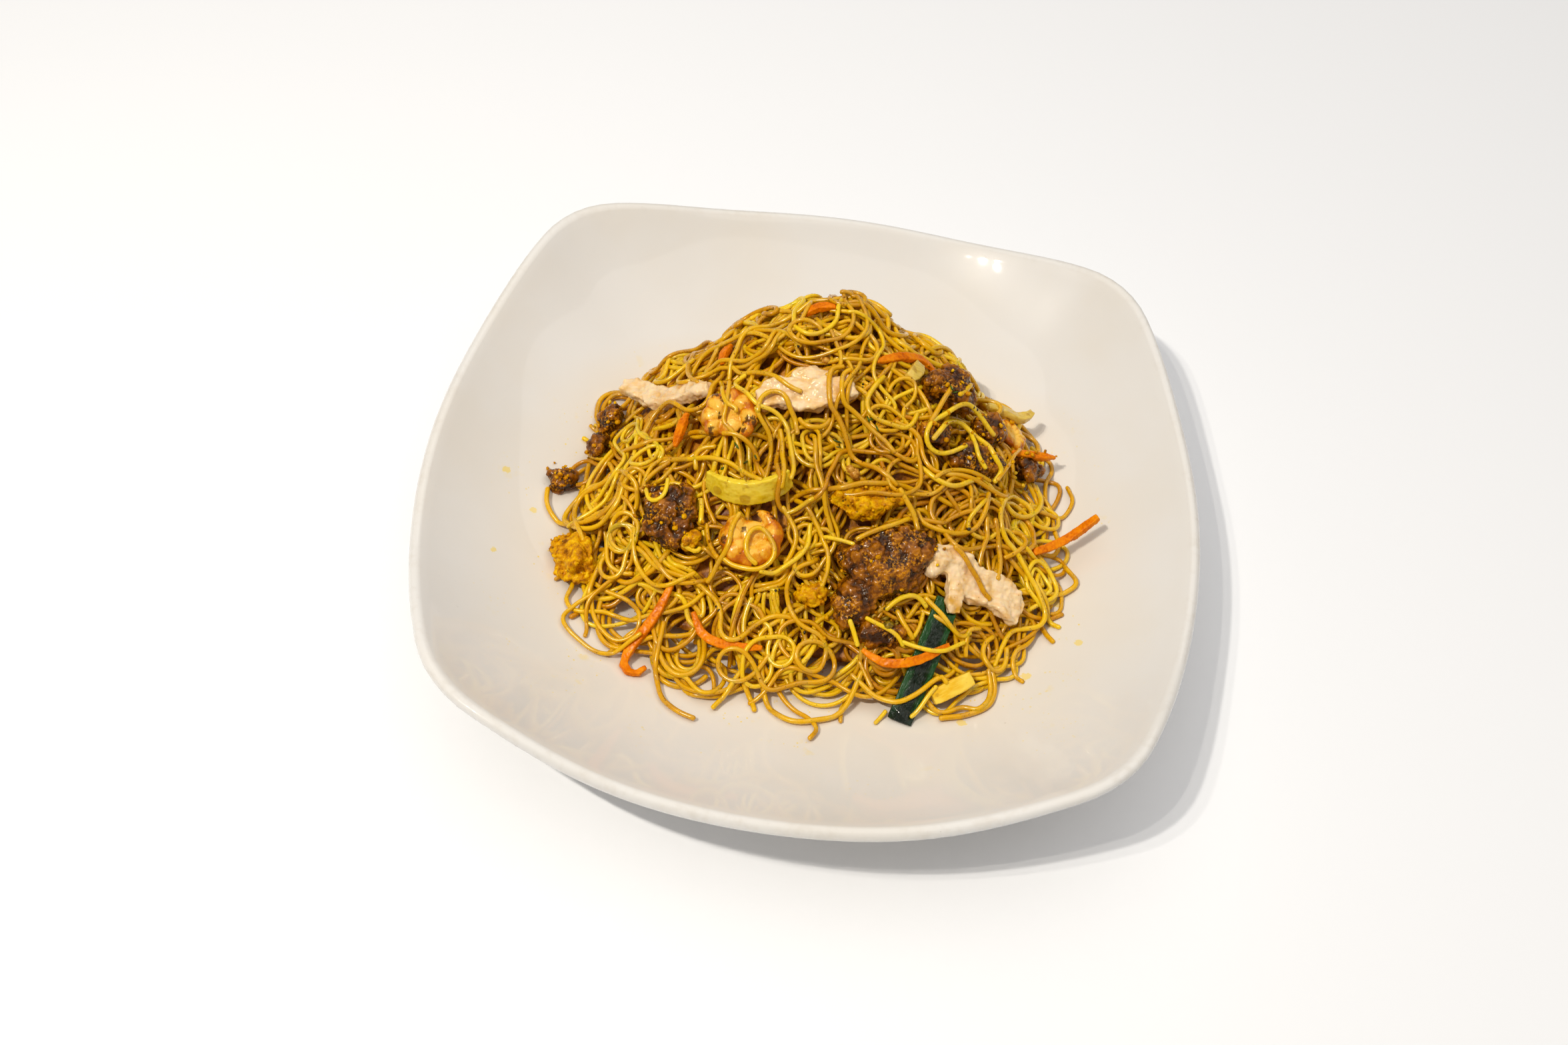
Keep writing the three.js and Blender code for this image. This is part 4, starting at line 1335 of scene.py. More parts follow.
    def fill(self, limit: float, length: float, shares: dict[Tone, float], crossing: float = 1.0) -> float:
        """Lays wandering strands until the heap is even.

        Args:
            limit: The greatest mean height of a strand over the outer surface.
            length: The most strand to lay.
            shares: How often each tone comes.
            crossing: The share of a strand that may lie on what pushes it away.

        Returns:
            The length of strand that was laid.
        """
        laid = 0.0
        kinds, weights = list(shares), np.array(list(shares.values()))
        idle = 0
        while laid < length and idle < self.idle_batches:
            before = laid
            for path in self.wander():
                offset = self.draw.uniform(*self.company_gap) * self.radius
                companions = int(self.draw.choice(self.company))
                kind = kinds[int(self.draw.choice(len(kinds), p=weights / weights.sum()))]
                for number in range(companions + 1):
                    beside = self._beside(path, number * offset)
                    push = self.ground.look("push", beside[:, 0], beside[:, 1])
                    if np.mean(push > self.pushed) > crossing or np.mean(self.rest(beside)[2]) > limit:
                        continue
                    self.lay(beside, kind, tuple(self.draw.choice(self.tails, 2) * self.radius))
                    laid += len(beside) * self.step
                if laid >= length:
                    break
            idle = idle + 1 if laid - before < self.idle_share * length else 0
        return laid

    def _beside(self, path: Array, offset: float) -> Array:
        """A path that runs beside another, drifts a little, and starts and ends elsewhere.

        Args:
            path: The first path.
            offset: How far to its side the new one starts.

        Returns:
            The new path.
        """
        if offset == 0:
            return path
        normals = self.ground.normals(path[:, 0], path[:, 1])
        sides = unit(np.cross(normals, unit(np.gradient(path, axis=0))))
        drift = blurred(self.draw.normal(0, 1, len(path)), self.company_blur) * self.company_drift
        moved = path + sides * (offset + drift)[:, None]
        quarter = max(1, len(path) // 4)
        start = int(self.draw.integers(0, quarter))
        end = len(path) - int(self.draw.integers(0, quarter))
        moved = blurred(moved[start:end], self.path_blur)
        return self.ground.on_surface(moved[:, 0], moved[:, 1])


@dataclass
class StrandMesh:
    """Joins strands of one tone into one piece."""

    name: str
    sides: int = 8
    tip: float = 0.75
    cap_ways: tuple[float, float] = (1.0, 0.6)
    cap_sizes: tuple[float, float] = (0.42, 0.82)

    def _rings(self, strand: Strand) -> tuple[Array, Array]:
        """The middle line with rounded ends added, and each ring's share of the radius.

        Args:
            strand: The strand.

        Returns:
            The middle of each ring, and its size.
        """
        points = strand.points
        cap = self.tip * strand.radius
        first = [points[0] + unit(points[0] - points[1]) * cap * way for way in self.cap_ways]
        last = [points[-1] + unit(points[-1] - points[-2]) * cap * way for way in self.cap_ways[::-1]]
        sizes = [*self.cap_sizes, *[1.0] * len(points), *self.cap_sizes[::-1]]
        return np.vstack([*first, points, *last]), np.array(sizes)

    def build(self, strands: Sequence[Strand], material: Material) -> Piece:
        """Sweeps a round section along each strand.

        Args:
            strands: The strands of one tone.
            material: Their finish.

        Returns:
            The finished piece.
        """
        sides = np.arange(self.sides)
        turns = 2 * math.pi * sides / self.sides
        points, quads, fans, tones, start = [], [], [], [], 0
        for strand in strands:
            line, sizes = self._rings(strand)
            normals = strand.normals
            up = np.vstack([normals[:1].repeat(2, 0), normals, normals[-1:].repeat(2, 0)])
            ahead = unit(np.gradient(line, axis=0))
            across = unit(np.cross(ahead, up))
            up = np.cross(across, ahead)
            ring = (across[:, None, :] * np.cos(turns)[None, :, None]
                    + up[:, None, :] * np.sin(turns)[None, :, None])
            body = line[:, None, :] + ring * (strand.radius * sizes)[:, None, None]
            points.append(body.reshape(-1, 3))
            row = start + np.arange(len(line) - 1)[:, None] * self.sides
            first, beside = row + sides, row + (sides + 1) % self.sides
            corners = [first, beside, beside + self.sides, first + self.sides]
            quads.append(np.stack(corners, -1).reshape(-1, 4))
            end = start + len(line) * self.sides
            fans.extend([start + sides[::-1], end - self.sides + sides])
            tones.append(np.full(end - start, strand.tone))
            start = end
        piece = self._piece(np.vstack(points), np.vstack(quads), np.array(fans))
        keep_number(piece, "tone", np.concatenate(tones))
        return dress(piece, material, ["noodles"])

    def _piece(self, points: Array, quads: Array, ends: Array) -> Piece:
        """Makes the mesh from arrays of corners.

        Args:
            points: All rings' points.
            quads: Four corners for each side face.
            ends: The corners of each end face.

        Returns:
            The piece.
        """
        mesh = bpy.data.meshes.new(self.name)
        mesh.vertices.add(len(points))
        mesh.vertices.foreach_set("co", points.astype(np.float32).ravel())
        corners = np.concatenate([quads.ravel(), ends.ravel()]).astype(np.int32)
        sizes = np.concatenate([np.full(len(quads), 4), np.full(len(ends), self.sides)])
        starts = np.concatenate([[0], np.cumsum(sizes)[:-1]]).astype(np.int32)
        mesh.loops.add(len(corners))
        mesh.loops.foreach_set("vertex_index", corners)
        mesh.polygons.add(len(sizes))
        mesh.polygons.foreach_set("loop_start", starts)
        mesh.update(calc_edges=True)
        mesh.validate()
        return put(self.name, mesh)


@dataclass
class Core:
    """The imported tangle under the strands: a ball pressed to the bed above and to the bowl below."""

    bed: Bed
    columns: int = 160
    rows: int = 90
    top_rows: int = 76
    edge: float = 0.84
    wave: float = 0.5 * MM
    wave_x: float = 1.9 * MM
    wave_y: float = 2.3 * MM
    wave_skew: float = 5 * MM
    under_gap: float = 0.3 * MM

    def build(self) -> Piece:
        """Presses the ball to its place and dresses it.

        Returns:
            The finished piece.
        """
        piece = unit_ball("noodles_core", self.columns, self.rows)
        ball = coordinates(piece)
        row = np.arccos(np.clip(ball[:, 2], -1, 1)) / math.pi * self.rows
        on_top = row <= self.top_rows
        way = np.where(on_top, row / self.top_rows, (self.rows - row) / (self.rows - self.top_rows))
        heap = self.bed.ground.heap
        foot = heap.foot_points(np.arctan2(ball[:, 1], ball[:, 0]))
        share = (way * self.edge)[:, None]
        plan = np.array(heap.top) * (1 - share) + foot * share
        x, y = plan[:, 0], plan[:, 1]
        under = heap.bowl.height(x, y) + self.under_gap
        relief = self.wave * np.sin(x / self.wave_x) * np.sin(y / self.wave_y + x / self.wave_skew)
        top = np.maximum(self.bed.core_height(x, y) - self.bed.cell + relief, under + self.under_gap)
        place_points(piece, np.column_stack([x, y, np.where(on_top, top, under)]))
        return dress(piece, ShadedNoodleCore().material(), ["noodles"])


@dataclass(frozen=True)
class Relief:
    """One layer of relief: a texture's kind, how coarse it is, and its depth."""

    kind: str
    grain: float
    depth: float


def reliefs(*rows: tuple[str, float, float]) -> tuple[Relief, ...]:
    """Layers of relief, given by a texture's kind, its grain and its depth in millimetres."""
    return tuple(Relief(kind, grain * MM, depth * MM) for kind, grain, depth in rows)


CRAGS = reliefs(("VORONOI", 5, -2), ("CLOUDS", 2.4, 1.1), ("VORONOI", 1.9, -1), ("CLOUDS", 0.8, 0.6))
CURDS = reliefs(("CLOUDS", 6, 4), ("VORONOI", 4, -2), ("VORONOI", 1.5, -0.7), ("CLOUDS", 1, 0.7))
RAGS = reliefs(("CLOUDS", 6, 2.6), ("CLOUDS", 2.6, 1.3), ("CLOUDS", 1.3, 0.25))
FIBRES = reliefs(("CLOUDS", 1.6, 0.3))
RIBS = reliefs(("CLOUDS", 3, 0.5))


@dataclass
class Topping:
    """A piece of food grown from its solid: merged, meshed finely, softened and given relief."""

    node: str
    slot: str
    finish: Finish
    reliefs: Sequence[Relief] = ()
    cell: float = 0.5 * MM
    soften: int = 3
    swell: float = 0.0
    raised_spread: float = 2.5

    def build(self) -> Piece:
        """Makes the piece and dresses it.

        Returns:
            The finished piece.
        """
        piece = put(f"{self.node}_cooked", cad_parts[self.node].data.copy())
        choose(piece)
        bpy.ops.object.mode_set(mode="EDIT")
        bpy.ops.mesh.select_all(action="SELECT")
        bpy.ops.mesh.remove_doubles(threshold=TOUCHING)
        bpy.ops.object.mode_set(mode="OBJECT")
        remesh(piece, self.cell, self.soften)
        if self.swell:
            apply_modifier(piece, "DISPLACE", strength=self.swell, mid_level=0)
        smooth = coordinates(piece)
        normals = np.empty(smooth.size)
        piece.data.vertex_normals.foreach_get("vector", normals)
        for relief in self.reliefs:
            texture = bpy.data.textures.new(f"{self.node}_{relief.kind}", relief.kind)
            texture.noise_scale = relief.grain
            apply_modifier(
                piece, "DISPLACE", texture=texture, strength=relief.depth, mid_level=0.5,
                texture_coords="LOCAL",
            )
        rise = np.sum((coordinates(piece) - smooth) * normals.reshape(-1, 3), axis=1)
        highest = self.raised_spread * max(np.std(rise), 1e-6)
        keep_number(piece, "raised", np.clip(0.5 + rise / highest / 2, 0, 1))
        self._mark_axes(piece)
        return dress(piece, self.finish.material(), [self.node])

    @staticmethod
    def _mark_axes(piece: Piece) -> None:
        """Marks how far along the piece and how far from its middle line each place is.

        Args:
            piece: The piece that keeps the marks.
        """
        points = coordinates(piece)
        points -= points.mean(axis=0)
        ways = np.linalg.svd(points, full_matrices=False)[2][:2]
        ways *= np.sign(ways[np.arange(2), np.abs(ways).argmax(axis=1)])[:, None]
        along, across = points @ ways[0], points @ ways[1]
        across = across - np.polyval(np.polyfit(along, across, 2), along)
        keep_number(piece, "along", (along - along.min()) / np.ptp(along))
        keep_number(piece, "across", np.clip(np.abs(across) / np.percentile(np.abs(across), 97), 0, 1))


@dataclass
class Shrimp:
    """A peeled shrimp, curled round to a disc, with a groove between its segments and charred spots."""

    node: str
    place: tuple[float, float]
    rim: float
    body: float
    start: float
    sweep: float
    lift: float
    charred: Places = ()
    segments: int = 7
    groove: float = 0.26
    groove_width: float = 0.45
    taper: float = 0.45
    bluntness: float = 0.42
    flatness: float = 0.95
    belly_width: float = 0.5
    belly_height: float = 0.38
    body_grid: tuple[int, int] = (40, 96)
    belly_grid: tuple[int, int] = (24, 16)
    soften: int = 3
    cell: float = 0.35 * MM

    def build(self, ground: Ground) -> Piece:
        """Bends a ball into the curled body, fills its middle and dresses it.

        Args:
            ground: The surface that it lies on.

        Returns:
            The finished piece.
        """
        x, y = self.place
        up = ground.normals(np.array(x), np.array(y))
        forward = unit(np.array([1.0, 0, 0]) - up * up[0])
        self.axes = np.stack([forward, np.cross(up, forward), up])
        self.centre = ground.on_surface(np.array(x), np.array(y)) + np.array([0, 0, self.lift])
        piece = self._curl()
        filling = self._filling()
        choose(filling)
        piece.select_set(True)
        bpy.context.view_layer.objects.active = piece
        bpy.ops.object.join()
        remesh(piece, self.cell, self.soften)
        self._mark(piece)
        return dress(piece, CookedShrimp().material(), [self.node])

    def _curl(self) -> Piece:
        """The body: thick at its start, thin at its tail, with its back on the rim."""
        piece = unit_ball(f"{self.node}_cooked", *self.body_grid)
        ball = coordinates(piece)
        along = np.arccos(np.clip(ball[:, 2], -1, 1)) / math.pi
        around = np.arctan2(ball[:, 1], ball[:, 0])
        ends = np.clip(np.sin(math.pi * along), 0, 1) ** self.bluntness
        tapered = self.body * (1 - self.taper * along)
        notch = 1 - self.groove * self._groove_at(along) * (0.9 + 0.5 * np.cos(around))
        ripple = 1 + 0.04 * np.sin(5 * around + 9 * along) + 0.03 * np.sin(23 * along)
        thick = tapered * ends * notch * ripple
        reach = self.rim - tapered + np.cos(around) * thick
        turn = self.start + self.sweep * along
        rise = np.sin(around) * thick * self.flatness
        local = np.column_stack([reach * np.cos(turn), reach * np.sin(turn), rise])
        place_points(piece, self.centre + local @ self.axes)
        return piece

    def _filling(self) -> Piece:
        """The folded belly that closes the middle of the curl."""
        filling = unit_ball(f"{self.node}_belly", *self.belly_grid)
        ball = coordinates(filling)
        wide = self.belly_width * self.rim * (1 + 0.08 * np.sin(3 * np.arctan2(ball[:, 1], ball[:, 0])))
        local = ball * np.column_stack([wide, wide, np.full(len(ball), self.belly_height * self.body)])
        place_points(filling, self.centre + local @ self.axes)
        return filling

    def _groove_at(self, along: Array) -> Array:
        """Is 1 in the grooves between segments and 0 on them."""
        return 1 - np.abs(np.sin(math.pi * along * self.segments)) ** self.groove_width

    def _mark(self, piece: Piece) -> None:
        """Marks the back, the grooves and the charred spots.

        Args:
            piece: The piece that keeps the marks.
        """
        points = coordinates(piece)
        across, deep, _ = self.axes @ (points - self.centre).T
        outer = np.hypot(across, deep) / self.rim
        turned = (np.arctan2(deep, across) - self.start) * np.sign(self.sweep) % (2 * math.pi)
        along = np.clip(turned / abs(self.sweep), 0, 1)
        keep_number(piece, "outer", np.clip(2 * outer - 1, 0, 1))
        keep_number(piece, "ring", self._groove_at(along) * np.clip(2 * outer, 0, 1))
        char = np.zeros(len(points))
        for x, y, size in in_metres(self.charred):
            char = np.maximum(char, 1 - np.hypot(points[:, 0] - x, points[:, 1] - y) / (2 * size))
        keep_number(piece, "char", np.clip(char, 0, 1))


@dataclass
class Crumbs:
    """Loose crumbs of one kind, scattered over nodes or round places in millimetres on the plan."""

    name: str
    slot: str
    finish: Finish
    hosts: Sequence["str | tuple[float, float]"]
    count: int
    sizes: tuple[float, float]
    spread: float = 0.0
    seed: int = 1
    flatness: float = 1.0
    most_food: float = 2.0
    gathering: float = 0.3
    stretch: tuple[float, float] = (0.6, 1.25)
    dents: float = 0.25
    lifted: float = 0.3

    def _place(self, number: int, draw: np.random.Generator) -> Array:
        """A crumb's place on the plan, on or near one of the hosts.

        Args:
            number: Which crumb it is.
            draw: The draws.

        Returns:
            How far right and how far back it is.
        """
        host = self.hosts[number % len(self.hosts)]
        if not isinstance(host, str):
            return np.array(host) * MM + draw.uniform(-1, 1, 2) * self.spread
        low, high = self.boxes[host]
        half = (high - low) / 2 + self.spread
        return ((low + high) / 2)[:2] + draw.uniform(-1, 1, 2) * half[:2] * draw.random() ** self.gathering

    def build(self, bed: Bed) -> Piece:
        """Drops each crumb on what lies below it and joins them.

        Args:
            bed: The taken room that they fall on.

        Returns:
            The finished piece.
        """
        draw = np.random.default_rng(self.seed)
        self.boxes = {host: np.array(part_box(host)) for host in self.hosts if isinstance(host, str)}
        bpy.ops.object.select_all(action="DESELECT")
        bpy.ops.mesh.primitive_ico_sphere_add(subdivisions=1, radius=1)
        model = bpy.context.active_object
        ball = coordinates(model)
        corners = np.array([tuple(face.vertices) for face in model.data.polygons])
        bpy.data.objects.remove(model)
        points, faces = [], []
        for number in range(self.count):
            x, y = self._place(number, draw)
            while bed.ground.look("food", x, y) > self.most_food:
                x, y = self._place(number, draw)
            foot = bed.ground.on_surface(np.array([x]), np.array([y]))
            normal = bed.ground.normals(foot[:, 0], foot[:, 1])
            top = bed.tops(foot, normal, np.zeros((1, 3)), 0)[0]
            size = draw.uniform(*self.sizes)
            shape = ball * draw.uniform(*self.stretch, 3)
            shape = shape * (1 + draw.uniform(-self.dents, self.dents, (len(ball), 1)))
            shape = shape * (1, self.flatness, self.flatness)
            turn = draw.uniform(0, 2 * math.pi)
            wide, deep, high = shape.T
            c, s = math.cos(turn), math.sin(turn)
            shape = np.column_stack([wide * c - deep * s, wide * s + deep * c, high])
            points.append(foot[0] + normal[0] * (top + self.lifted * size) + shape * size)
            faces.append(corners + number * len(ball))
        piece = mesh_piece(self.name, np.vstack(points), [], [tuple(f) for f in np.vstack(faces).tolist()])
        return dress(piece, self.finish.material())


def all_garnish() -> list[Crumbs]:
    """The crumbs, and the small bits of garnish at their places in millimetres on the plan."""
    blacks = [
        (28.3, 19.7), (28.9, -42.2), (31.6, -42.3), (-6, -42.7), (12, 24), (-41, -20), (61, -36), (46, 27),
        (-12, 34), (35, -3), (52, -12), (-60, -8), (3, -52), (-25, -49),
    ]
    greens = [(15.4, 12.1), (4.6, 4.5), (17.1, 11.4), (-26.4, -3.6), (-21.9, -4.4), (-31.5, -7.9), (38, 29)]
    golds = [
        (68.4, 24.7), (67.1, 21.4), (55.8, 41.5), (50.1, 32.1), (65.8, 14.3), (71.8, 21), (-22.8, -40),
        (-38.2, -40), (-25.2, 22.7), (-20, 1), (8, -36), (-50, 20),
    ]
    nuts = [(11.4, -2.5), (13, -3.4), (-2, 31)]
    black = Scrap("charred_bits", shown(40, 30, 26), shown(14, 10, 10), 0.5)
    green = Scrap("green_bits", shown(70, 110, 20), shown(24, 56, 12), 0.4)
    olive = Scrap("olive_bits", shown(150, 120, 12), shown(90, 70, 8), 0.3)
    nut = Scrap("nut_bits", shown(216, 160, 60), shown(170, 104, 20))
    spice = Scrap("spice_bits", shown(168, 98, 4), shown(96, 46, 1), 0.1)
    gold = Scrap("golden_bits", shown(246, 204, 30), shown(224, 160, 6))
    rows = [
        ("crumbs_egg", "egg", FriedEgg(), nodes_named("egg", "meat"), 170, (0.4, 1.1), 5, 5, 1.0, 2.0),
        ("bits_black", "vegetable", black, blacks, 28, (0.3, 0.75), 1.2, 6, 1.0, 2.0),
        ("bits_green", "vegetable", green, greens, 14, (1.2, 2.2), 1.5, 7, 0.22, 2.0),
        ("bits_olive", "vegetable", olive, [(29.3, -46.2), (32.6, -46)], 4, (1.4, 2.2), 1, 8, 0.6, 2.0),
        ("bits_nut", "vegetable", nut, nuts, 3, (1.3, 2.0), 0, 9, 1.0, 2.0),
        ("bits_spice", "vegetable", spice, ["noodles"], 1500, (0.12, 0.34), 0, 11, 0.7, 0.2),
        ("bits_golden", "egg", gold, golds, 30, (0.4, 1.0), 2, 10, 1.0, 2.0),
    ]
    return [
        Crumbs(name, slot, finish, hosts, count, (low * MM, high * MM), spread * MM, *rest)
        for name, slot, finish, hosts, count, (low, high), spread, *rest in rows
    ]


# Strands that stray over the bowl from the heap's foot, in millimetres on the plan
STRAYS = [
    [(-66, -16), (-79, -18), (-87, -15), (-91, -10), (-92, -4)],
    [(-42, -54), (-42, -68), (-39, -79), (-33, -84), (-27, -86)],
    [(-12, -62), (-16, -68), (-19, -74), (-22, -80)],
    [(-8, -63), (0, -72), (8, -77), (12, -82), (10, -87)],
    [(24, -61), (20, -72), (12, -78.5), (3, -80), (-5, -74), (-9, -62)],
    [(-62, -42), (-72, -49), (-76, -56), (-70, -62), (-60, -66), (-48, -58)],
    [(60, -45), (67, -54), (67, -64), (60, -69.5), (51, -72)],
    [(73, -24), (86, -19), (94, -14), (90, -6.5)],
    [(72, 12), (87, 15), (92, 22), (90, 29)],
]

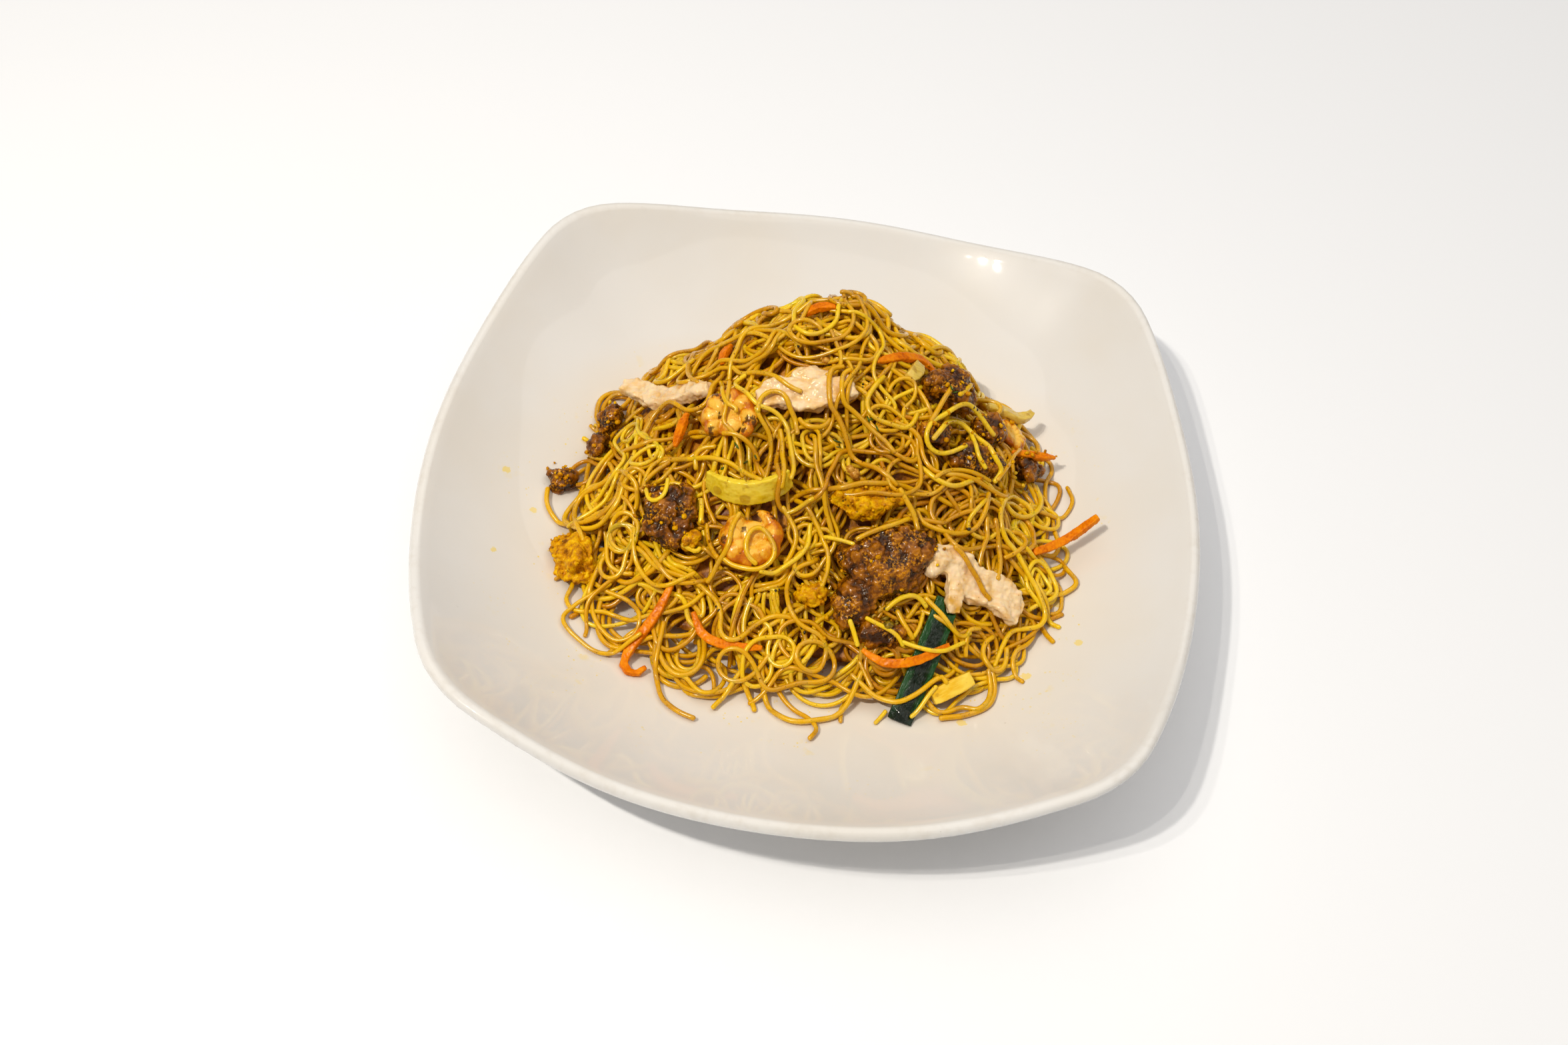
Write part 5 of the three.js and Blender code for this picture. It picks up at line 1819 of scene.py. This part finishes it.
# Strands that lie on top of the heap and its toppings, in millimetres on the plan
LAID_LAST = [
    (Tone.GOLDEN, [(-33.1, 31.4), (-29, 27.3), (-24.3, 25.9), (-18.6, 23.3), (-12.4, 19.2), (-8.2, 17.7)]),
    (Tone.PALE, [(-27.8, 25.6), (-29.9, 23.2), (-28.7, 19.2), (-25.1, 16.3), (-21.1, 12.3), (-16.8, 11.4),
     (-13.4, 9.3), (-10.7, 6.2), (-9.1, 2.5), (-7.2, -2.3), (-6.4, -6.3), (-7.4, -9.3)]),
    (Tone.GOLDEN, [(-20.7, 10), (-20.8, 13.2), (-19, 16.1), (-15.6, 17), (-12.7, 15.4), (-10.8, 11.7),
     (-9, 9.3), (-7.3, 4)]),
    (Tone.GOLDEN, [(-21.6, 11.5), (-20, 8.5), (-17.2, 5.1), (-15.8, 1.5), (-15.5, -3.1), (-15.8, -6.9),
     (-16.2, -9.4)]),
    (Tone.GOLDEN, [(4.3, 28.3), (0.9, 26.9), (0.1, 23.1), (0.9, 17.8), (2.1, 14), (3.9, 12.7), (6.6, 9.2),
     (8.9, 5.7), (10.9, 2.7), (14.7, 0), (18.9, -1.8), (23.3, -3.8), (26.7, -5.6)]),
    (Tone.GOLDEN, [(6.7, 27.3), (4.5, 25.4), (4.6, 19.9), (6.3, 15.7), (8.9, 14.7), (12.9, 12.4),
     (17.8, 9.1), (21.9, 6.1), (25, 3.1)]),
    (Tone.PALE, [(18.4, 29.8), (15.8, 24.4), (13.8, 20.2), (14.1, 16.2), (17.2, 13.8), (22.3, 12.9),
     (26.9, 13.4), (29.8, 16.7), (31, 20.8)]),
    (Tone.GOLDEN, [(-7.7, 9.4), (-5.1, 6.8), (-1.9, 6.4), (0.9, 8.4), (2.3, 11.1)]),
    (Tone.GOLDEN, [(-30.1, 20), (-30.2, 12.3), (-30.8, 9.1), (-31.2, 6.5), (-29.1, 4.9), (-26.8, 1.5),
     (-25.5, -3.6), (-23.2, -9.8)]),
    (Tone.GOLDEN, [(-36.9, 26.7), (-33.1, 19.1), (-30, 11.9), (-27.1, 11), (-27.3, 9.4)]),
    (Tone.GOLDEN, [(-31.2, 3.3), (-26.6, 2.8), (-22.2, 0.2), (-19.3, -3.8)]),
    (Tone.GOLDEN, [(-34.7, 1.1), (-39.1, 0.6), (-40.8, -2.1), (-40.1, -6.3)]),
    (Tone.GOLDEN, [(-13.4, 6.3), (-11.5, 2.3), (-10.2, -1.8), (-9.5, -5.9), (-10.1, -12.8)]),
    (Tone.PALE, [(55.7, 25.4), (51.4, 27.9), (46.7, 28.5), (41.7, 26.5), (37.1, 21.4), (34.1, 17),
     (33.6, 12.7), (35.3, 10), (38.7, 9.1), (42.9, 11.2), (46.9, 15.3)]),
    (Tone.PALE, [(35.5, 11.6), (36.6, 14.1), (39.2, 19.9), (42.9, 24.3), (46.8, 26.2), (49.5, 24.6),
     (52.3, 21.3), (55.4, 15.5), (58.2, 13.7), (59.8, 13.1), (58.7, 8.3)]),
    (Tone.GOLDEN, [(36.9, 31.1), (36.9, 29.7), (35.4, 23.2), (33.8, 17.3)]),
    (Tone.GOLDEN, [(43.7, 37.6), (41.4, 31.7), (39.8, 30)]),
    (Tone.GOLDEN, [(67.7, 30.7), (64.4, 22.3), (60.8, 13.9), (58.7, 8.3)]),
    (Tone.PALE, [(48.6, 22), (50.1, 13.5), (53.8, 9.8)]),
    (Tone.GOLDEN, [(39.3, -0.6), (42.3, 2.9), (46.8, 6.1), (52.6, 7.5), (57.7, 8.4)]),
    (Tone.PALE, [(-53.3, -12.8), (-50.9, -17.8), (-47.9, -18.5), (-46.1, -16.1), (-46.4, -11)]),
    (Tone.GOLDEN, [(-36.8, -10.3), (-36.3, -13.3), (-34.7, -17.6), (-32.8, -20.9), (-30.6, -23.9)]),
    (Tone.PALE, [(-36.5, -16.3), (-35.6, -20.1), (-35.2, -24)]),
    (Tone.GOLDEN, [(-14.5, -35.6), (-17.4, -33.7), (-18.7, -30.5), (-17.9, -26.5), (-14.8, -25), (-11, -28),
     (-9.2, -31.2), (-10.2, -34.6), (-13.8, -37), (-18.1, -37.1), (-22.5, -36.4), (-25.7, -34.4)]),
    (Tone.GOLDEN, [(-22, -21.3), (-23.8, -25.8), (-23.9, -30.9), (-25.3, -34), (-26.8, -35.9),
     (-28.4, -39.1), (-30, -41.5)]),
    (Tone.GOLDEN, [(-33.6, -24.1), (-32, -28.6), (-30.1, -32.1), (-27.2, -34.7)]),
    (Tone.GOLDEN, [(-9, -17.6), (-6.5, -20.4), (-3.8, -24.1), (-3.2, -27.5), (-4.3, -31.7), (-5.9, -34.1)]),
    (Tone.GOLDEN, [(-5.7, -14.8), (-1.4, -17), (2.3, -20.6), (6, -24.8), (8.5, -29.3), (8.9, -34.6),
     (7.2, -39.5)]),
    (Tone.PALE, [(0.6, -21.2), (0.2, -27.1), (-2.1, -31.8), (-5, -35.2), (-9, -37.8), (-13.1, -38.1)]),
    (Tone.PALE, [(-7.6, -19.4), (-3.5, -17.5), (0.5, -14.8)]),
    (Tone.GOLDEN, [(-56, -25.5), (-55.4, -31.3), (-54.2, -35.5), (-51.2, -39.9), (-47.6, -42.8),
     (-43, -43.6), (-38.5, -41.9), (-34.3, -39.6)]),
    (Tone.PALE, [(-38.7, -32.3), (-36.8, -33.5), (-34.2, -34.7), (-33.1, -32.6)]),
    (Tone.GOLDEN, [(-55.6, -14), (-55.9, -9.4), (-54.4, -5.3), (-51.8, -1.9)]),
    (Tone.GOLDEN, [(-55.4, -9.8), (-52.2, -6.3), (-49, -2.9)]),
    (Tone.BROWNED, [(47.3, -20), (50.4, -21.8), (53, -24.8), (56.3, -27.8), (58.9, -30.9), (61.4, -32.5)]),
    (Tone.GOLDEN, [(58.3, 3), (57.1, -4.5), (54.7, -10.4), (50.4, -14.5), (45.4, -15.8), (40.8, -15.4),
     (37, -14.3), (35, -11.5)]),
    (Tone.GOLDEN, [(58.2, -5.8), (58.7, -11), (57.7, -16.2), (57.8, -22.4)]),
    (Tone.BROWNED, [(61.1, -4.7), (63.2, -12.1), (64.1, -19.3), (63, -25.4)]),
    (Tone.GOLDEN, [(59.7, 1.2), (64.4, 0.5), (67.6, -2.3), (69.6, -5.4)]),
    (Tone.GOLDEN, [(68.8, -4.2), (71.9, -3.2), (73, -6.3), (70.7, -11), (66.2, -15.3)]),
    (Tone.PALE, [(28.8, -42.7), (31.2, -39.9), (34.9, -37.5), (38.8, -37.1), (42, -39.2)]),
    (Tone.GOLDEN, [(16.1, -24.6), (19.3, -22.5), (23.4, -20.3), (27.9, -17.8), (31.8, -15)]),
    (Tone.GOLDEN, [(27.3, -6.7), (30.5, -10.5), (33.2, -13.2), (35.1, -18)]),
    (Tone.PALE, [(6.3, -24), (10.9, -25), (15.7, -26.1)]),
    (Tone.PALE, [(22.6, -46.2), (26.3, -47.3), (30.1, -48.4), (33.6, -49.8), (35.7, -52.2)]),
    (Tone.PALE, [(35.1, -51.1), (39.6, -51.8), (44.1, -52.1), (48.6, -51.2), (52.2, -49), (55.6, -46.8)]),
    (Tone.GOLDEN, [(41, -36.6), (44, -38.7), (46.9, -40.7), (49.5, -42.9), (52.1, -44.7), (54.9, -45.2),
     (57.8, -43)]),
    (Tone.GOLDEN, [(54, -35.4), (56.4, -38), (60.5, -39.3), (65.5, -37.8)]),
    (Tone.GOLDEN, [(20.7, -62.3), (25, -65), (28.4, -67.2), (32.5, -68.1), (36.7, -68), (40.7, -65.8),
     (43.9, -63.2), (47.1, -59.9), (49.5, -58.2), (50.9, -60.3)]),
    (Tone.PALE, [(17.6, -47.5), (19.2, -50.1), (21.4, -54.3)]),
    (Tone.GOLDEN, [(32.5, -42.3), (35.4, -46.1), (38.8, -49.5)]),
    (Tone.GOLDEN, [(41.2, -40.9), (40.5, -45.4), (38.8, -49)]),
    (Tone.GOLDEN, [(61.2, -41), (57.4, -42.1), (56.6, -46), (57.4, -50.5)]),
    (Tone.GOLDEN, [(66.6, -41.6), (63.7, -44.3), (62.9, -48.3), (64.9, -51.4), (67.2, -52.7), (69.7, -51.3),
     (71.1, -47.7), (71.1, -44)]),
    (Tone.GOLDEN, [(65, -52.6), (66.3, -58.1), (65.8, -64.4), (62.9, -68), (59.6, -67), (57, -67.1),
     (52.8, -69.4), (48.3, -68), (46, -65.8)]),
    (Tone.PALE, [(47.8, -61.6), (45.6, -64.8), (43.4, -69.1), (41.5, -72.7)]),
    (Tone.GOLDEN, [(22.7, -58.3), (25.4, -62.1), (28, -65.7)]),
    (Tone.PALE, [(33.4, -70.9), (32, -73), (30.3, -75.9)]),
]

SKINS = {
    tone: NoodleSkin(tone, shown(*light), shown(*deep), stained=stained, cleared=cleared)
    for tone, light, deep, stained, cleared in [
        (Tone.PALE, (244, 208, 36), (234, 188, 6), 0.28, 0.5),
        (Tone.GOLDEN, (232, 184, 6), (218, 160, 1), 0.4, 0.35),
        (Tone.AMBER, (226, 174, 4), (208, 148, 1), 0.45, 0.3),
        (Tone.BROWNED, (218, 162, 3), (196, 130, 1), 0.5, 0.2),
    ]
}
DEEPEST_FIRST = (Tone.BROWNED, Tone.AMBER, Tone.GOLDEN, Tone.PALE)


@dataclass
class NoodleHeap:
    """The heap's core and its strands, some below and some over the toppings."""

    bed: Bed
    seed: int = 20
    # Strands under the toppings lean to browner tones and those over them to paler ones: partly painted
    # shade, darker deeper in the heap, beside each strand's own random tone
    under_shares: tuple[float, ...] = (0.22, 0.27, 0.26, 0.25)
    under_height: float = -1.7 * MM
    under_length: float = 46.0
    over_shares: tuple[float, ...] = (0.08, 0.27, 0.25, 0.4)
    over_height: float = 0.9 * MM
    over_length: float = 23.0
    crossing: float = 0.08
    topping_push: float = 2.8
    most_push: float = 1.4
    footprint_blurs: int = 3
    food_share: float = 0.95
    showing: float = 1 * MM
    half_buried: tuple[str, ...] = ("chicken_piece_back", "egg_left", "egg_middle", "scallion_strip")

    def build_under(self) -> None:
        """Lays the strands under the toppings."""
        self.under = StrandLayer(self.bed, self.seed)
        shares = dict(zip(DEEPEST_FIRST, self.under_shares))
        laid = self.under.fill(self.under_height, self.under_length, shares)
        LOG.info("strands under the toppings: %d, %.1f m", len(self.under.strands), laid)

    def _mark_toppings(self, toppings: Sequence[Piece]) -> None:
        """Takes the toppings' room, and keeps strands and spice off them.

        Args:
            toppings: The finished toppings.
        """
        ground = self.bed.ground
        footprint = np.zeros(ground.grids["share"].shape)
        food = np.where(ground.grids["share"] > self.food_share, 1.0, 0.0)
        for piece in toppings:
            points = coordinates(piece)
            self.bed.mark(points)
            lowest = ground.look("height", points[:, 0], points[:, 1]) - self.showing
            lifted = points[points[:, 2] > lowest]
            cells = np.round((lifted[:, :2] + ground.reach) / ground.cell).astype(int)
            food[cells[:, 0], cells[:, 1]] = 1
            if not piece.name.startswith(self.half_buried):
                footprint[cells[:, 0], cells[:, 1]] = 1
        ground.grids["food"] = food
        for _ in range(self.footprint_blurs):
            for axis in (0, 1):
                footprint = (np.roll(footprint, 1, axis) + footprint + np.roll(footprint, -1, axis)) / 3
        push = np.clip(self.topping_push * footprint, 0, self.most_push)
        ground.set_push(np.maximum(ground.grids["edge"], push))

    def build_over(self, toppings: Sequence[Piece]) -> None:
        """Lays the strands over and between the toppings.

        Args:
            toppings: The finished toppings.
        """
        self._mark_toppings(toppings)
        self.over = StrandLayer(self.bed, self.seed + 1)
        for places in STRAYS:
            self.over.trace(places, Tone.GOLDEN)
        shares = dict(zip(DEEPEST_FIRST, self.over_shares))
        laid = self.over.fill(self.over_height, self.over_length, shares, self.crossing)
        for tone, places in LAID_LAST:
            self.over.trace(places, tone, self.over.radius)
        LOG.info("strands over the toppings: %d, %.1f m wandering", len(self.over.strands), laid)

    def build_meshes(self) -> None:
        """Joins the strands of each tone, and adds the core."""
        strands = [*self.under.strands, *self.over.strands]
        Core(self.bed).build()
        for tone, skin in SKINS.items():
            chosen = [strand for strand in strands if strand.kind is tone]
            StrandMesh(f"noodles_{tone.value}").build(chosen, skin.material())


def all_toppings() -> list[Topping]:
    """Every topping that is grown from its solid."""
    coarse, fine = {"cell": 0.4 * MM}, {"cell": 0.35 * MM}
    spots = in_metres([(-21.5, -17.9, 47, 2.1), (-31.4, -16.6, 46.5, 2.0), (-16.9, -13.8, 49.5, 0.5)])
    cabbage = SoftVegetable("cabbage", shown(246, 218, 62), shown(230, 194, 12), turn=0.2, spots=spots)
    onion = SoftVegetable("onion", shown(230, 198, 92), shown(204, 162, 36))
    bamboo = SoftVegetable("bamboo", shown(248, 212, 78), shown(238, 186, 24), turn=0.65)
    rows = [
        ("chicken", "chicken", SoftChicken(), RAGS, {}),
        ("meat", "meat", CrispMeat(), CRAGS, {**coarse, "swell": 1 * MM}),
        ("egg", "egg", FriedEgg(), CURDS, coarse),
        ("carrot", "carrot", CarrotFlesh(), FIBRES, fine),
        ("cabbage", "vegetable", cabbage, RIBS, fine),
        ("onion", "vegetable", onion, RIBS, fine),
        ("bamboo", "vegetable", bamboo, FIBRES, fine),
        ("scallion", "scallion", ScallionLeaf(), RIBS, {"cell": 0.3 * MM, "soften": 2}),
    ]
    return [
        Topping(name, slot, finish, relief, **settings)
        for start, slot, finish, relief, settings in rows for name in nodes_named(start)
    ]


def all_shrimp() -> list[Shrimp]:
    """The three shrimp, where their solids lie."""
    upper_marks = [
        (-39, 16, 2.0), (-37, 14.6, 1.2), (-33.2, 12.2, 1.5), (-34, 7.3, 0.9), (-24.8, 5.2, 1.2),
        (-22.8, 5.9, 1.2), (-20.8, 6.6, 1.0), (-25.5, 2.5, 0.8), (-36.6, 3, 0.8),
    ]
    front_marks = [
        (-18.3, -21.6, 1.4), (-11.5, -22.4, 1.4), (-20.5, -27.9, 1.0), (-18.2, -35, 1.0), (-15.6, -38.3, 0.9),
        (-26.5, -31.8, 0.9), (-27.4, -24.6, 1.0),
    ]
    return [
        Shrimp("shrimp_upper", (-31 * MM, 7.8 * MM), 11.2 * MM, 5.9 * MM, 4.2, -5.2, 1.4 * MM, upper_marks),
        Shrimp("shrimp_front", (-18 * MM, -28.3 * MM), 11.5 * MM, 5.8 * MM, 2.0, 5.8, 1.4 * MM, front_marks),
        Shrimp("shrimp_right", (66 * MM, 38 * MM), 7.9 * MM, 4.4 * MM, -1.0, 3.9, 0.0),
    ]


@dataclass(frozen=True)
class Lamp:
    """A round soft lamp that hangs in a direction from its target, which it faces."""

    name: str
    target: Point
    direction: Point
    distance: float
    size: float
    power: float
    colour: Point

    def hang(self) -> None:
        """Puts the lamp in the scene."""
        data = bpy.data.lights.new(self.name, "AREA")
        data.shape = "DISK"
        data.size = self.size
        data.energy = self.power
        data.color = self.colour
        way = Vector(self.direction).normalized()
        place = Matrix.Translation(Vector(self.target) + way * self.distance)
        put(self.name, data).matrix_world = place @ way.to_track_quat("Z", "Y").to_matrix().to_4x4()


@dataclass(frozen=True)
class Studio:
    """The pale floor, the soft lights and the camera."""

    eye: Point = (2.728 * MM, -338.479 * MM, 460.173 * MM)
    right: Point = (0.98992526, 0.12383206, 0.06865563)
    up: Point = (-0.14013829, 0.78760597, 0.60003175)
    back: Point = (0.02022958, -0.60360787, 0.79702466)
    lens: float = 36.70
    sensor: float = 36
    floor_size: float = 8
    floor_colour: Colour = shown(248, 250, 254)
    sky_colour: Colour = (1.0, 0.97, 0.93, 1)
    sky_strength: float = 0.26
    middle: Point = (0.0, 0.0, 0.0)
    lip: Point = (51 * MM, 119 * MM, 39 * MM)

    def build(self) -> None:
        """Sets everything up."""
        self._camera()
        self._floor()
        self._sky()
        for lamp in (
            Lamp("lamp_key", self.lip, (-0.408, -0.419, 0.811), 1.2, 0.03, 4.9, (1.0, 0.94, 0.84)),
            Lamp("lamp_key_right", self.lip, (-0.349, -0.447, 0.823), 1.2, 0.02, 1.6, (1.0, 0.93, 0.82)),
            Lamp("lamp_key_left", self.lip, (-0.46, -0.386, 0.80), 1.2, 0.02, 1.6, (1.0, 0.93, 0.82)),
            Lamp("lamp_top", self.middle, (0.1, 0.25, 0.96), 1.6, 2.4, 13.2, (1.0, 0.97, 0.93)),
            Lamp("lamp_fill", self.middle, (0.7, -0.5, 0.6), 1.5, 0.8, 0.7, (1.0, 0.95, 0.9)),
        ):
            lamp.hang()

    def _camera(self) -> None:
        """Stands the camera where the photo was taken."""
        data = bpy.data.cameras.new("camera")
        data.lens = self.lens
        data.sensor_width = self.sensor
        data.sensor_fit = "HORIZONTAL"
        data.clip_start = 10 * MM
        camera = put("camera", data)
        turn = Matrix((self.right, self.up, self.back)).transposed().to_4x4()
        camera.matrix_world = Matrix.Translation(Vector(self.eye)) @ turn
        bpy.context.scene.camera = camera

    def _floor(self) -> None:
        """Lays a plain pale floor."""
        bpy.ops.object.select_all(action="DESELECT")
        bpy.ops.mesh.primitive_plane_add(size=self.floor_size, location=(0, 0, 0))
        floor = bpy.context.active_object
        floor.name = "floor"
        floor.data.materials.append(Paint("pale_floor").done(Base_Color=self.floor_colour, Roughness=0.9))

    def _sky(self) -> None:
        """Fills the room with soft light."""
        world = bpy.data.worlds.new("room")
        world.use_nodes = True
        light = world.node_tree.nodes["Background"]
        light.inputs["Color"].default_value = self.sky_colour
        light.inputs["Strength"].default_value = self.sky_strength
        bpy.context.scene.world = world
        bpy.context.scene.view_settings.view_transform = "Standard"


def main() -> None:
    """Builds everything in order."""
    logging.basicConfig(level=logging.INFO, format="%(message)s")
    Studio().build()
    bowl_shape = BowlShape()
    heap_shape = HeapShape(bowl_shape)
    Bowl(bowl_shape, heap_shape).build()
    ground = Ground(heap_shape)
    even = Ground(heap_shape, bumps=0, sunk=0)
    bed = Bed(ground)
    heap = NoodleHeap(bed)
    heap.build_under()
    toppings = [topping.build() for topping in all_toppings()]
    toppings += [shrimp.build(even) for shrimp in all_shrimp()]
    heap.build_over(toppings)
    heap.build_meshes()
    for crumbs in all_garnish():
        crumbs.build(bed)


if __name__ == "__main__":
    main()
